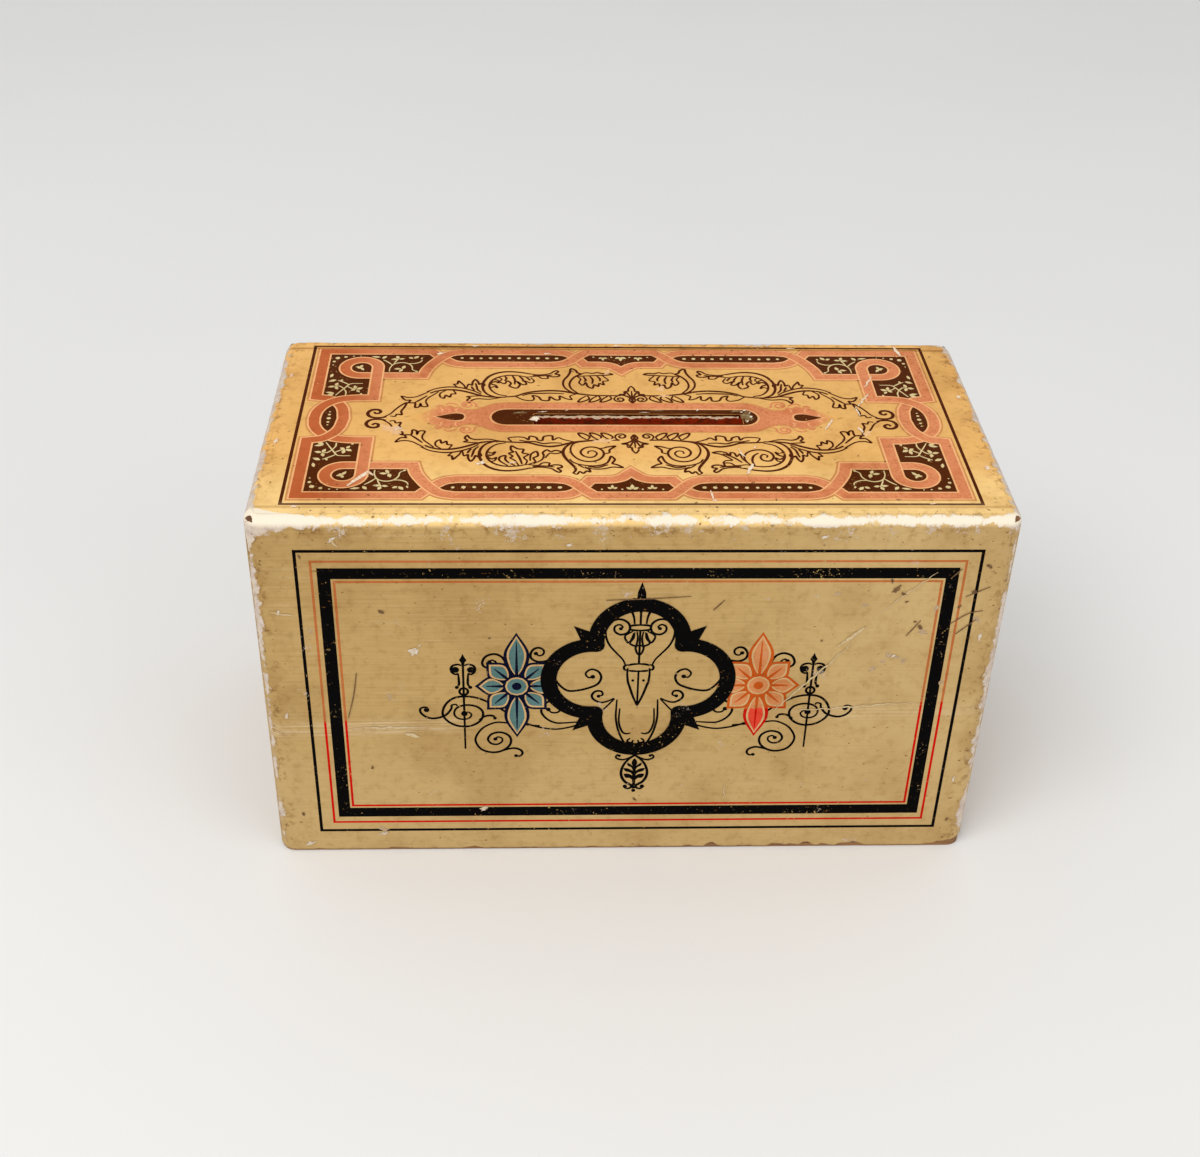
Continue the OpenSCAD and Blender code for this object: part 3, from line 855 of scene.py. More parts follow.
def print_on(face, name, drawing, middle, level, material, thickness=None):
    """Prints a drawing on a face of the box, at its layer above the paper."""
    inks = bpy.context.scene.offering_box_ink
    joined = bmesh.new()
    for mesh in ink_meshes(drawing, thickness or inks.thickness, inks.layer, material):
        joined.from_mesh(mesh)
        bpy.data.meshes.remove(mesh)
    result = bpy.data.meshes.new(name)
    joined.to_mesh(result)
    joined.free()
    result.materials.append(material)
    turn = FACES[face].copy()
    turn.translation *= MM
    result.transform(turn @ Matrix.Translation((middle[0] * MM, middle[1] * MM, level * inks.layer)))
    return settle(name, result)


def ragged_line(points, size, scale, seed):
    """Outline whose points wander by up to size."""
    moved = []
    for px, py in points:
        at = Vector((px * scale, py * scale, seed))
        moved.append((px + size * noise.noise(at), py + size * noise.noise(at + Vector((9.1, 4.7, 2.3)))))
    return moved


def between(first, last, step):
    """Points from first to last, about step apart, without the last."""
    count = max(1, round(math.hypot(last[0] - first[0], last[1] - first[1]) / step))
    return [(first[0] + (last[0] - first[0]) * i / count, first[1] + (last[1] - first[1]) * i / count)
            for i in range(count)]


def round_rectangle(half_x, half_y, radius, step, count=8):
    """Outline of a rectangle with round corners, anticlockwise, with the direction out at each point."""
    corners = [((half_x - radius, radius - half_y), -90), ((half_x - radius, half_y - radius), 0),
               ((radius - half_x, half_y - radius), 90), ((radius - half_x, radius - half_y), 180)]
    outline = []
    for i, (middle, first) in enumerate(corners):
        for k in range(count + 1):
            a = math.radians(first + 90 * k / count)
            out = (math.cos(a), math.sin(a))
            outline.append((middle[0] + radius * out[0], middle[1] + radius * out[1], *out))
        following, turn = corners[(i + 1) % 4]
        out = (math.cos(math.radians(turn)), math.sin(math.radians(turn)))
        start = outline[-1][:2]
        stop = (following[0] + radius * out[0], following[1] + radius * out[1])
        outline += [(*p, *out) for p in between(start, stop, step)[1:]]
    return outline


# Rows of points up the wall paper: above the hem, with their shares of its tears, and further up
HEM_ROWS = (0, 0.4, 1.0, 1.8, 3.0)
TEAR_SHARES = (1, 0.85, 0.55, 0.2)
WALL_START = 6
WALL_ROWS = 27
EDGE_ROWS = 7
# Distance between points round the papers
PAPER_STEP = 1.1
# Stretch of the front hem that is torn most, and the reach and height of the lifted right corner
WORST_HEM = (10, 62)
LIFTED_HEM = (9, 2.4)


class WallPaper(bpy.types.Operator):
    """Sheet round the walls, drawn over the top edges, with a ragged lower edge and dented corners"""
    bl_idname = "offering_box.wall_paper"
    bl_label = "Wall paper"

    def execute(self, context):
        paper = context.scene.offering_box_paper
        outline = round_rectangle(HALF_X, HALF_Y, CORNER_RADIUS, PAPER_STEP)
        turned = TOP_Z - EDGE_RADIUS
        heights = [HEM_Z + h for h in HEM_ROWS]
        heights += [WALL_START + (turned - WALL_START) * i / WALL_ROWS for i in range(WALL_ROWS + 1)]
        rows = [(h, 0.0) for h in heights] + [(turned, 90 * (i + 1) / EDGE_ROWS) for i in range(EDGE_ROWS)]
        shell = bmesh.new()
        skins = []
        for depth in (0.0, PAPER):
            skin = []
            for number, (height, angle) in enumerate(rows):
                a = math.radians(angle)
                row = []
                for px, py, nx, ny in outline:
                    inward = EDGE_RADIUS - (EDGE_RADIUS - depth) * math.cos(a) if angle else depth
                    z = height + (EDGE_RADIUS - depth) * math.sin(a)
                    if number < len(TEAR_SHARES):
                        z += self.tear(paper, px, py) * TEAR_SHARES[number]
                    if depth == 0:
                        inward += self.dent(paper, px, py, z)
                    row.append(shell.verts.new(((px - nx * inward) * MM, (py - ny * inward) * MM, z * MM)))
                skin.append(row)
            skins.append(skin)
        outer, inner = skins
        count = len(outline)
        for k in range(len(rows) - 1):
            for j in range(count):
                i = (j + 1) % count
                shell.faces.new((outer[k][j], outer[k][i], outer[k + 1][i], outer[k + 1][j]))
                shell.faces.new((inner[k][i], inner[k][j], inner[k + 1][j], inner[k + 1][i]))
        for j in range(count):
            i = (j + 1) % count
            shell.faces.new((outer[0][i], outer[0][j], inner[0][j], inner[0][i]))
            shell.faces.new((outer[-1][j], outer[-1][i], inner[-1][i], inner[-1][j]))
        mesh = bpy.data.meshes.new("wall_paper")
        shell.to_mesh(mesh)
        shell.free()
        for face in mesh.polygons:
            face.use_smooth = True
        mesh.materials.append(printed("Wall paper", paper.wall_colour, upper=paper.top_colour, paper=1.0))
        settle("wall_paper", mesh, ("body_paper",))
        return {"FINISHED"}

    @staticmethod
    def tear(paper, px, py):
        """Height of the lower edge above its cut line."""
        at = Vector((px, py, 0.0))
        rough = max(0.0, noise.noise(at * 0.35) * 0.9 + noise.noise(at * 1.3) * 0.35)
        low, high = WORST_HEM
        worse = 1.0 + (0.9 if py < -HALF_Y + 1 and low < px < high else 0.0)
        reach, rise = LIFTED_HEM
        lifted = 0.0
        if py < 0 and px > HALF_X - reach:
            lifted = (px - HALF_X + reach) / reach * rise * max(0.0, min(1.0, -py / 30))
        return rough * worse * paper.hem_tear / MM + lifted

    @staticmethod
    def dent(paper, px, py, z):
        """Depth of the dents near an edge of the walls."""
        distances = sorted((HALF_X - abs(px), HALF_Y - abs(py), TOP_Z - z))
        near = max(0.0, 1 - distances[1] / 3.0)
        at = Vector((px, py, z))
        return near * paper.dent / MM * max(0.0, 0.5 + noise.noise(at * 0.3) + 0.6 * noise.noise(at * 0.9))


class TopPaper(bpy.types.Operator):
    """Sheet on the top, with the coin slot cut through it"""
    bl_idname = "offering_box.top_paper"
    bl_label = "Top paper"

    def execute(self, context):
        paper = context.scene.offering_box_paper
        sheet = Drawing()
        edge = [p[:2] for p in round_rectangle(SHEET_X, SHEET_Y, CORNER_RADIUS - EDGE_RADIUS, PAPER_STEP)]
        sheet.shape(edge, slot_outline(0.16))
        material = printed("Top paper", paper.top_colour, paper=1.0)
        piece = print_on("top", "top_sheet", sheet, (0, 0),
                         -PAPER * MM / context.scene.offering_box_ink.layer, material, PAPER * MM)
        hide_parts("top_paper")
        return {"FINISHED"}


def slot_outline(grow, wander=0.14, seed=3.0):
    """Outline of the coin slot, a little larger than the cut in the wood, with a worn wavy edge."""
    low = (SLOT_LOW[0] - grow, SLOT_LOW[1] - grow)
    high = (SLOT_HIGH[0] + grow, SLOT_HIGH[1] + grow)
    corners = [low, (high[0], low[1]), high, (low[0], high[1])]
    outline = []
    for i in range(4):
        outline += between(corners[i], corners[(i + 1) % 4], 0.8)
    return ragged_line(outline, wander, 0.9, seed)


# Strapwork on the top, given for the rear right quarter
# Where a corner ring starts, below its middle
RING_X = 62.5
RING_Y = 20.6
# Middle line of a long panel
LONG_PANEL_Y = 29.65
# Line round the top: its middle and half sizes
BORDER_MIDDLE = (0.1, -0.35)
BORDER_X = 74.75
BORDER_Y = 35.95


def strap_loop(quarter):
    """Whole closed strap from one quarter of it."""
    loop = []
    for number, (fx, fy) in enumerate(((1, 1), (1, -1), (-1, -1), (-1, 1))):
        part = [(x * fx, y * fy) for x, y in quarter]
        if number % 2:
            part.reverse()
        for p in part:
            if not loop or math.hypot(p[0] - loop[-1][0], p[1] - loop[-1][1]) > 0.05:
                loop.append(p)
    if math.hypot(loop[0][0] - loop[-1][0], loop[0][1] - loop[-1][1]) < 0.05:
        loop.pop()
    return loop


def straight(points, step=1.6):
    """Points close together along straight lines."""
    line = []
    for first, last in zip(points, points[1:]):
        line += between(first, last, step)
    return line + [points[-1]]


def joined(*parts):
    """One line from parts that each start where the last one ends."""
    line = list(parts[0])
    for part in parts[1:]:
        line += part[1:]
    return line


def winding_strap(ring):
    """Strap that runs from the middle panel round the corner ring to the side eye."""
    middle = (RING_X, RING_Y + ring)
    near = RING_X - ring
    return joined(smooth([(0, 23.3), (1.3, 25), (3.3, 26.2), (5.4, 26.5)]),
                  straight([(5.4, 26.5), (8.9, 26.5)]),
                  smooth([(8.9, 26.5), (10, 28.3), (11.5, 30.8), (13.6, 32.4), (16.4, 32.9)]),
                  straight([(16.4, 32.9), (38.2, 32.9)]),
                  smooth([(38.2, 32.9), (41.2, 32.1), (43.5, 29.8), (45.4, 26.8), (46.8, 23.8),
                          (47.6, RING_Y)]), straight([(47.6, RING_Y), (RING_X, RING_Y)]),
                  arc(middle, ring, -90, 180, 36), straight([(near, RING_Y + ring), (near, 9.7)]),
                  smooth([(near, 9.7), (62.6, 9.6), (66.4, 8.7), (69.3, 6.4), (70.9, 3.3), (71.3, 0)]))


def border_strap():
    """Strap that runs along the border and changes sides at each crossing."""
    return joined(straight([(0, 32.9), (8.3, 32.9)]),
                  smooth([(8.3, 32.9), (10.3, 30.7), (12.2, 28.3), (14.3, 26.8), (17, 26.3)]),
                  straight([(17, 26.3), (37.8, 26.3)]),
                  smooth([(37.8, 26.3), (40.6, 27.1), (43.1, 29.4), (44.7, 31.3), (45.8, 32.9)]),
                  straight([(45.8, 32.9), (71.9, 32.9), (71.9, 9.9)]),
                  smooth([(71.9, 9.9), (69.4, 9.5), (67.2, 7.9), (65.3, 4.7), (64.6, 0)]))


def open_corners(loop, clear):
    """Strap without the points that crowd its sharp corners."""
    count = len(loop)
    sharp = []
    for i, here in enumerate(loop):
        ax, ay = here[0] - loop[i - 1][0], here[1] - loop[i - 1][1]
        bx, by = loop[(i + 1) % count][0] - here[0], loop[(i + 1) % count][1] - here[1]
        if ax * bx + ay * by < 0.8 * math.hypot(ax, ay) * math.hypot(bx, by):
            sharp.append(here)
    return [p for p in loop
            if p in sharp or all(math.hypot(p[0] - c[0], p[1] - c[1]) > clear for c in sharp)]


def lifted(loop, crossings, upright=()):
    """Strap with its height in layers, raised where it passes over another."""
    raised = []
    count = len(loop)
    for i, (x, y) in enumerate(loop):
        reach = min([math.hypot(x - cx, y - cy) for cx, cy in crossings] or [99])
        back, ahead = loop[i - 1], loop[(i + 1) % count]
        if abs(ahead[1] - back[1]) > abs(ahead[0] - back[0]):
            reach = min([reach] + [math.hypot(x - cx, y - cy) for cx, cy in upright])
        raised.append((x, y, LIFT * max(0.0, min(1.0, (5.6 - reach) / 1.6))))
    return raised


class Strapwork(bpy.types.Operator):
    """Two straps laced round the top, with their pale and soft outer lines, and the border line"""
    bl_idname = "offering_box.strapwork"
    bl_label = "Strapwork"

    def execute(self, context):
        straps = context.scene.offering_box_straps
        ring = straps.ring / MM
        band, pale, outer = straps.band / MM, straps.pale_line / MM, straps.outer_line / MM
        winding = open_corners(strap_loop(winding_strap(ring)), 2.6)
        border = open_corners(strap_loop(border_strap()), 2.6)

        def quarters(x, y, signs=(1, -1)):
            return [(x * fx, y * fy) for fx in (1, -1) for fy in signs]

        over_winding = quarters(43.5, 29.7) + quarters(67.6, 8.2, (1,))
        over_border = quarters(11.0, 29.7) + quarters(67.6, 8.2, (-1,))
        winding = lifted(winding, over_winding, quarters(RING_X - ring, RING_Y))
        border = lifted(border, over_border)
        for name, width, level, tint in (("strap_edges", band + 2 * pale + 2 * outer, UNDER, "dusky"),
                                         ("strap_lines", band + 2 * pale, OUTLINE, "pale"),
                                         ("strap_bands", band, BAND, "salmon")):
            drawing = Drawing()
            for loop in (winding, border):
                flat = level == UNDER
                drawing.stroke([p[:2] if flat else p for p in loop], width, closed=True)
            print_on("top", name, drawing, TOP_MIDDLE, level, ink(tint))
        line = Drawing()
        line.stroke(rectangle(BORDER_MIDDLE, BORDER_X, BORDER_Y), straps.border_line / MM, closed=True)
        print_on("top", "top_border_line", line, TOP_MIDDLE, UNDER, ink("brown"))
        return {"FINISHED"}


class DarkPanels(bpy.types.Operator):
    """Dark panels between the straps, with their pale tracery and dots"""
    bl_idname = "offering_box.dark_panels"
    bl_label = "Dark panels"

    def execute(self, context):
        straps = context.scene.offering_box_straps
        ring = straps.ring / MM
        near = RING_X - ring
        panels = Drawing()
        panels.shape([(71.5, 32.5), (46.1, 32.5), (44.9, 31.1), (44.7, 29.2), (45.6, 27), (46.9, 24),
                      (47.7, 20.8), (near, 20.8), (near + 0.1, 9.9), (63, 9.7), (66.2, 9), (68, 8.4),
                      (69.6, 9.4), (71.5, 9.9)])
        panels.shape(smooth(
            [(42.3, LONG_PANEL_Y), (40.6, 31.6), (38.3, 32.5), (27, 32.5), (16.2, 32.5), (13.8, 31.8),
             (11.9, 29.8), (13.6, 27.8), (16.8, 26.7), (27, 26.7), (38, 26.7), (40.4, 27.5)], 4, True))
        panels = panels.copies(*ALL_QUARTERS)
        middle = Drawing()
        side = [(0, 24), (1.3, 25.4), (3.2, 26.5), (8.6, 26.8), (10.6, 29.7), (8.5, 32.5)]
        middle.shape(side + mirrored(side[1:], -1, 1))
        panels.add(middle.copies((1, 1), (1, -1)))
        end = Drawing()
        eye = [(67.7, 8.0), (69.7, 5.7), (70.9, 2.9), (71.2, 0)]
        inner = [(64.8, 0), (65.5, 4.4), (67.0, 7.4)]
        end.shape(eye + mirrored(eye[:-1], 1, -1) + mirrored(inner, 1, -1) + inner[1:])
        panels.add(end.copies(*BOTH_SIDES))
        print_on("top", "dark_panels", panels, TOP_MIDDLE, PANEL, ink("panel"))
        pale = self.corner_tracery(ring).copies(*ALL_QUARTERS)
        pale.add(self.middle_sprigs().copies((1, 1), (1, -1)))
        pale.add(self.long_dots(straps.dot / MM).copies(*ALL_QUARTERS))
        pale.add(self.side_dots().copies(*BOTH_SIDES))
        print_on("top", "panel_tracery", pale, TOP_MIDDLE, OUTLINE, ink("tracery"))
        return {"FINISHED"}

    @staticmethod
    def corner_tracery(ring):
        """Vines, leaves and dots in the two arms of a corner panel, and the sprig in its ring."""
        d = Drawing()
        thin = 0.36
        for vine in (
                [(55.8, 22.6), (55.7, 24.6), (54.9, 26.4), (53.2, 27.2), (51.5, 26.7), (50.5, 25.2),
                 (50.3, 23.7), (49.5, 22.8)], [(51.5, 26.7), (49.9, 26.8), (48.6, 27.6), (48.2, 28.7)],
                [(55, 26.3), (54.5, 28), (53.9, 29.4)], [(55.3, 26), (56.4, 27.4), (57.6, 28.6)],
                [(67.5, 10.8), (66.6, 12.6), (65.8, 14.1), (65.1, 15.5), (64.2, 16.5), (61.6, 16.6)],
                [(65.2, 10.8), (65.2, 12.4), (65.8, 14)], [(64.8, 16), (66.2, 17.2), (67.6, 18.1)],
                [(65.8, 14), (66.8, 15.2), (67.8, 15.3)], [(65.2, 15.2), (64, 14.2), (63, 13.9)]):
            d.stroke(smooth(vine), thin, 0.7, 0.6)
        d.leaves((53, 24.1, 54.8, 23.9, 0.8), (52.7, 24, 53.4, 22.4, 0.8), (52.7, 24, 52.2, 25.7, 0.9),
                 (54, 29, 55.8, 28.9, 0.8), (53.9, 29, 52.4, 29.3, 0.75), (54, 29.3, 54.5, 30.7, 0.85),
                 (57.9, 29.2, 56.9, 30.6, 0.85), (58.4, 29.9, 60.6, 30.3, 0.7), (50.4, 29.3, 51.6, 30, 0.8),
                 (50.2, 29.3, 49.1, 30.7, 0.9), (48.5, 29, 48.2, 30, 0.5), (49.7, 23, 48.9, 22.4, 0.6),
                 (67.9, 11.7, 69.7, 10.4, 0.9), (67.9, 11.9, 70, 12.3, 0.8), (67.9, 15.2, 67.3, 13.6, 0.85),
                 (68, 15.2, 69.7, 14.8, 0.85), (67.9, 15.4, 67.5, 17, 0.85), (63.1, 13.8, 64.2, 13.1, 0.8),
                 (62.9, 13.7, 61.4, 14.6, 0.95), (63.1, 14, 63.4, 15.7, 0.85), (62.8, 13.4, 62, 12.3, 0.7),
                 (68, 18.4, 69.8, 17.5, 0.95), (66.9, 17.7, 66.5, 18.6, 0.6),
                 (69.1, 21.4, 69.5, 19.5, 0.75))
        d.spots((68.7, 29.4, 1.15), (69.4, 27.6, 0.8), (66.8, 30, 0.85), (64.9, 30.4, 0.45),
                (69.5, 25.9, 0.4), (61.6, 11.5, 0.6), (63.2, 30.5, 0.35))
        heart = (62.8, 20.8 + ring)
        for angle, reach in ((60, 1.9), (190, 1.2), (290, 1.2), (130, 0.9)):
            d.shape(petal(heart, polar(heart, -reach, math.radians(angle)), 0.75))
        return d

    @staticmethod
    def middle_sprigs():
        """Three leaf sprigs in a middle panel."""
        d = Drawing()
        for x, base, size in ((0, 30.6, 1.0), (-4.3, 30.4, 0.8), (4.3, 30.4, 0.8)):
            for angle, reach in ((-90, 2.3), (-38, 1.7), (-142, 1.7)):
                a = math.radians(angle)
                d.shape(petal(polar((x, base), 0.25, a), polar((x, base), size * reach, a), 0.85 * size))
        for x in (-6.6, -2.2, 2.2, 6.6):
            d.dot((x, 30.4), 0.5)
        return d

    @staticmethod
    def long_dots(size):
        """Row of dots in a long panel."""
        d = Drawing()
        chance = random.Random(5)
        for i in range(11):
            d.dot((15.6 + 2.3 * i, LONG_PANEL_Y + chance.uniform(-0.08, 0.08)),
                  size * chance.uniform(0.8, 1.05))
        return d

    @staticmethod
    def side_dots():
        """Dots in a side eye."""
        d = Drawing()
        for y, size in ((0, 1.0), (1.7, 0.7), (-1.7, 0.7), (3.0, 0.45), (-3.0, 0.45)):
            d.dot((68.0, y), size)
        return d


# Slot cartouche: the bar's half sizes, the width of the light line round it, and how far right the eyes lie
BAR_X = 30.7
BAR_Y = 3.5
BAR_LINE = 0.5
EYE_SHIFT = 1.1
# How far the print reaches above the slot's rear edge and down into the slot
PRINT_RISE = 0.05
PRINT_DROP = 0.8


class SlotCartouche(bpy.types.Operator):
    """Dark bar round the coin slot, its pink surround with curls and palmettes, and the worn slot edge"""
    bl_idname = "offering_box.slot_cartouche"
    bl_label = "Slot cartouche"

    def execute(self, context):
        cx, cy = CARTOUCHE_MIDDLE
        inks = context.scene.offering_box_ink
        paper = context.scene.offering_box_paper
        hole = [(x - cx, y - cy) for x, y in slot_outline(0.2)]
        side = smooth([(27.6, 6.5), (30, 6), (31.6, 5.1), (33, 4), (34.6, 3.3), (36.2, 3.2), (37.4, 3.5),
                       (38.3, 4.4), (39.4, 4.2), (40.4, 5), (41.6, 4.4), (42.6, 4.6), (43.4, 3.6),
                       (44.4, 3.4), (45, 2.4), (46, 2.1), (46.8, 1.2), (48.4, 0.6), (50, 0)], 4)
        half = [(0, 6.5), (14, 6.5)] + side
        half += mirrored(half[:-1], 1, -1)
        outline = half + mirrored(half[1:-1], -1, 1)
        soft = printed("Soft edge ink", inks.dusky, second=inks.salmon, ends=(42, 48))
        edge = Drawing()
        edge.stroke(outline, 0.9, closed=True)
        curls = Drawing()
        curls.curl([(33.0, 4.4), (34.2, 4.8)], (36.3, 5.7), 2.0, 0.6, -160, -1.6, 0.5)
        curls.lines(
            0.5, [(38.4, 5.4), (39.4, 6.2), (40.6, 6.4), (41.4, 5.6)],
            [(41.8, 5.2), (42.8, 5.4), (43.6, 4.6)])
        print_on("top", "cartouche_curls", curls.copies(*ALL_QUARTERS), CARTOUCHE_MIDDLE, UNDER + 0.5,
                 ink("salmon"))
        print_on("top", "cartouche_edge", edge, CARTOUCHE_MIDDLE, UNDER, soft)
        pink = Drawing()
        pink.shape(outline, hole)
        tint = printed("Cartouche ink", inks.salmon, second=inks.deep_salmon, ends=(42.5, 50))
        print_on("top", "cartouche_pink", pink, CARTOUCHE_MIDDLE, PANEL, tint)
        self.pale_lines(printed("Pale cartouche ink", inks.pale, second=inks.salmon, ends=(44, 50)), hole)
        bar = Drawing()
        bar.shape(stadium((0, 0), BAR_X, BAR_Y), hole)
        for flip in (1, -1):
            bar.shape([(EYE_SHIFT + flip * x, y) for x, y in self.eye(38.0, 44.6, 1.6)])
        print_on("top", "slot_bar", bar, CARTOUCHE_MIDDLE, BAND, ink("panel"))
        self.worn_edge(paper.core_colour)
        return {"FINISHED"}

    @staticmethod
    def eye(near, far, half):
        """Outline of a dark eye: blunt towards the slot and pointed at the end."""
        upper = smooth([(near, 0), (near + 0.5, half * 0.75), (near + 2.2, half), (near + 4.2, half * 0.62),
                        (far, 0)], 5)
        return upper[:-1] + mirrored(upper[1:], 1, -1)

    def pale_lines(self, tint, hole):
        """Light lines round the bar and the eyes, and in the curls and leaves."""
        lines = Drawing()
        lines.shape(stadium((0, 0), BAR_X + BAR_LINE, BAR_Y + BAR_LINE), hole)
        for flip in (1, -1):
            lines.shape([(EYE_SHIFT + flip * x, y) for x, y in self.eye(37.6, 45.3, 2.05)])
        quarter = Drawing()
        quarter.lines(
            0.32, [(38.4, 4.2), (39, 3.2), (38.6, 2.4)], [(42.6, 4.2), (42, 3.2), (42.4, 2.4)],
            [(45.6, 2), (45, 1.4), (45.4, 0.8)])
        lines.add(quarter.copies(*ALL_QUARTERS))
        print_on("top", "slot_bar_line", lines, CARTOUCHE_MIDDLE, OUTLINE, tint)

    @staticmethod
    def worn_edge(tint):
        """Print turned down over the slot's rear edge, its torn pale edge, and flakes at the ends."""
        low, high = SLOT_LOW[0] + 0.1, SLOT_HIGH[0] - 0.1
        turned = Drawing()
        turned.shape([(low, -PRINT_DROP), (high, -PRINT_DROP), (high, PRINT_RISE), (low, PRINT_RISE)])
        upper, lower = [], []
        for x, _ in between((low, 0), (high, 0), 0.5):
            at = Vector((x * 0.5, 1.0, 4.0))
            upper.append((x, 0.3 * noise.noise(at * 1.9) - 0.45))
            lower.append((x, -0.95 - max(-0.15, 0.5 * noise.noise(at) + 0.5 * noise.noise(at * 3.1))))
        torn = Drawing()
        torn.shape(lower + [(high - 0.4, -0.7)] + upper[::-1])
        worn = Drawing()
        worn.flakes((-21.3, 1.3, 1.2, 1.15, 1.1, 1), (28.6, 2.4, 0.45, 1.3, 0.8, 2),
                    (27.4, 5.4, 0.4, 1.6, 0.4, 3), (-19.5, 4.5, 0.5, 2.4, 0.1, 4),
                    (27.6, 0.4, 0.4, 1.6, 1.2, 5), (4, 4.3, 0.4, 3, 0, 6), (26.6, 4.6, 0.35, 1.4, 0.2, 7),
                    (28.4, 4.2, 0.3, 1.4, 0.9, 8), (-14, 5.2, 0.3, 1.6, 0.6, 9),
                    (16.5, 5.6, 0.35, 1.8, 1.1, 10))
        rubbed = Drawing()
        rubbed.flakes((27.7, 2.6, 1.9, 1.35, 1.57, 11), (25.4, 5.2, 0.9, 1.7, 0.1, 12),
                      (-24.6, 4.2, 0.9, 1.8, 0.1, 13), (7.0, 5.3, 0.8, 2.4, 0.0, 14))
        print_on("top", "slot_bar_rubbed", rubbed, (0, 0), BAND + 1.5,
                 scraped("Rubbed bar", display(112, 78, 26), display(150, 134, 92)))
        bare = scraped("Scraped edge", tint, display(214, 168, 132))
        print_on("top", "slot_wear", worn, (0, 0), MARK, bare)
        print_on("slot", "slot_turned_print", turned, (0, 0), UNDER, ink("panel"))
        print_on("slot", "slot_torn_edge", torn, (0, 0), OUTLINE,
                 scraped("Torn edge", display(255, 234, 200), display(250, 200, 156)))


# Acanthus line work on the top, each quarter given with both axes positive


def acanthus_stem(d, line):
    """End volute, stem with its leaves, and the large scroll, the same in every quarter."""
    d.lines(
        line * 1.5,
        [(59.4, 3), (58.9, 2.3), (58.2, 2.5), (57.9, 3.2), (58.4, 4), (59.5, 4.1), (60.4, 3.5), (60.8, 2.3),
         (60.3, 1), (59.2, 0.4), (57.6, 0.4), (56.4, 0.9)])
    d.lines(
        line * 1.3,
        [(47, 12), (45.6, 13), (43.8, 13.6), (42, 13.7), (40.2, 13.4), (38.2, 12.6), (36.2, 11.5),
         (34.2, 10.6), (31.8, 10.2), (29.2, 10.2)],
        [(31.7, 10.3), (33.4, 11.4), (34.5, 13.4), (34.8, 16.1), (34.3, 18.4), (33.2, 20.6), (31.2, 22.2),
         (28.6, 22.8), (25.7, 22.4), (23.4, 21.6)])
    d.lines(
        line, [(47.8, 12.7), (45.8, 14.2), (43.3, 15), (41, 15), (38.8, 14.3), (36.6, 13), (35, 11.6)],
        [(29, 10.8), (31, 11.5), (32.3, 12.9), (33.1, 14.8), (33.1, 16.9), (32.3, 18.8), (30.8, 20.2),
         (28.8, 20.9), (26.4, 20.8), (24.2, 20.1)],
        [(57, 0.8), (55.6, 2.2), (54.5, 4.4), (53.3, 6.3), (52.2, 7.4), (52.6, 5.3), (53.2, 3.4), (53, 1.8),
         (54.1, 2), (54.5, 1), (55.6, 1.2)],
        [(45, 12.8), (46.2, 11.2), (47.4, 9.6), (47.8, 8), (47.3, 5.8), (48.6, 5.7), (49, 7), (49.2, 5.6),
         (50.1, 5.2), (50.3, 7.2), (51.7, 7.4), (51.4, 8.6), (52.6, 8.7), (53.6, 10.5), (52, 9.9),
         (50.1, 10.3), (48.4, 11.7), (47.2, 12.9)], [(50.4, 7.4), (49.2, 8.8), (47.6, 10.8)],
        [(43.4, 13.4), (44.6, 12), (44.6, 10.4), (43.7, 9.6), (43.3, 11), (42.3, 10.2), (42, 11.6),
         (41, 11.8), (41.6, 13.4)],
        [(38.6, 14.2), (38.4, 15.4), (38.1, 16.5), (37.3, 16), (37.2, 17.4), (36.6, 18.8), (35.9, 17.6),
         (35.6, 16.4), (34.9, 17), (34.3, 16.2), (34.9, 14.6)],
        [(35, 12.4), (35.9, 13.8), (36.2, 15.4), (36.5, 17)], [(36.6, 13.4), (37.2, 14.6), (37.4, 15.4)],
        [(38.8, 14.4), (39.2, 15.9), (40.1, 17.4), (40.6, 18), (40.8, 16.6), (41.6, 16.4), (40.8, 15.1)],
        [(23.6, 21.8), (22, 21.3), (20.4, 21.4), (18.8, 21.9), (18, 22.8), (17.2, 23.4), (16.8, 22.8),
         (17.5, 21.7), (16.6, 21.4), (16.8, 20.5), (18.2, 20.3), (19.4, 20.8), (19.3, 19.5), (20.8, 19.5),
         (21.8, 20.5), (24.2, 20.1)], [(18.2, 21.2), (20.6, 20.8), (23, 21)],
        [(33.1, 14.6), (32.1, 15.3), (31.3, 14.8), (31.8, 16), (33, 16.8), (31.9, 17.8), (31, 17.2),
         (31.3, 18.5), (32.3, 18.9)],
        [(30.2, 10.1), (33, 9.2), (35.6, 9.4), (37, 8.8), (37.7, 7.6), (38.2, 8.8), (37.6, 9.8),
         (38.3, 10.4), (36.6, 10.7), (34.8, 10.8)])


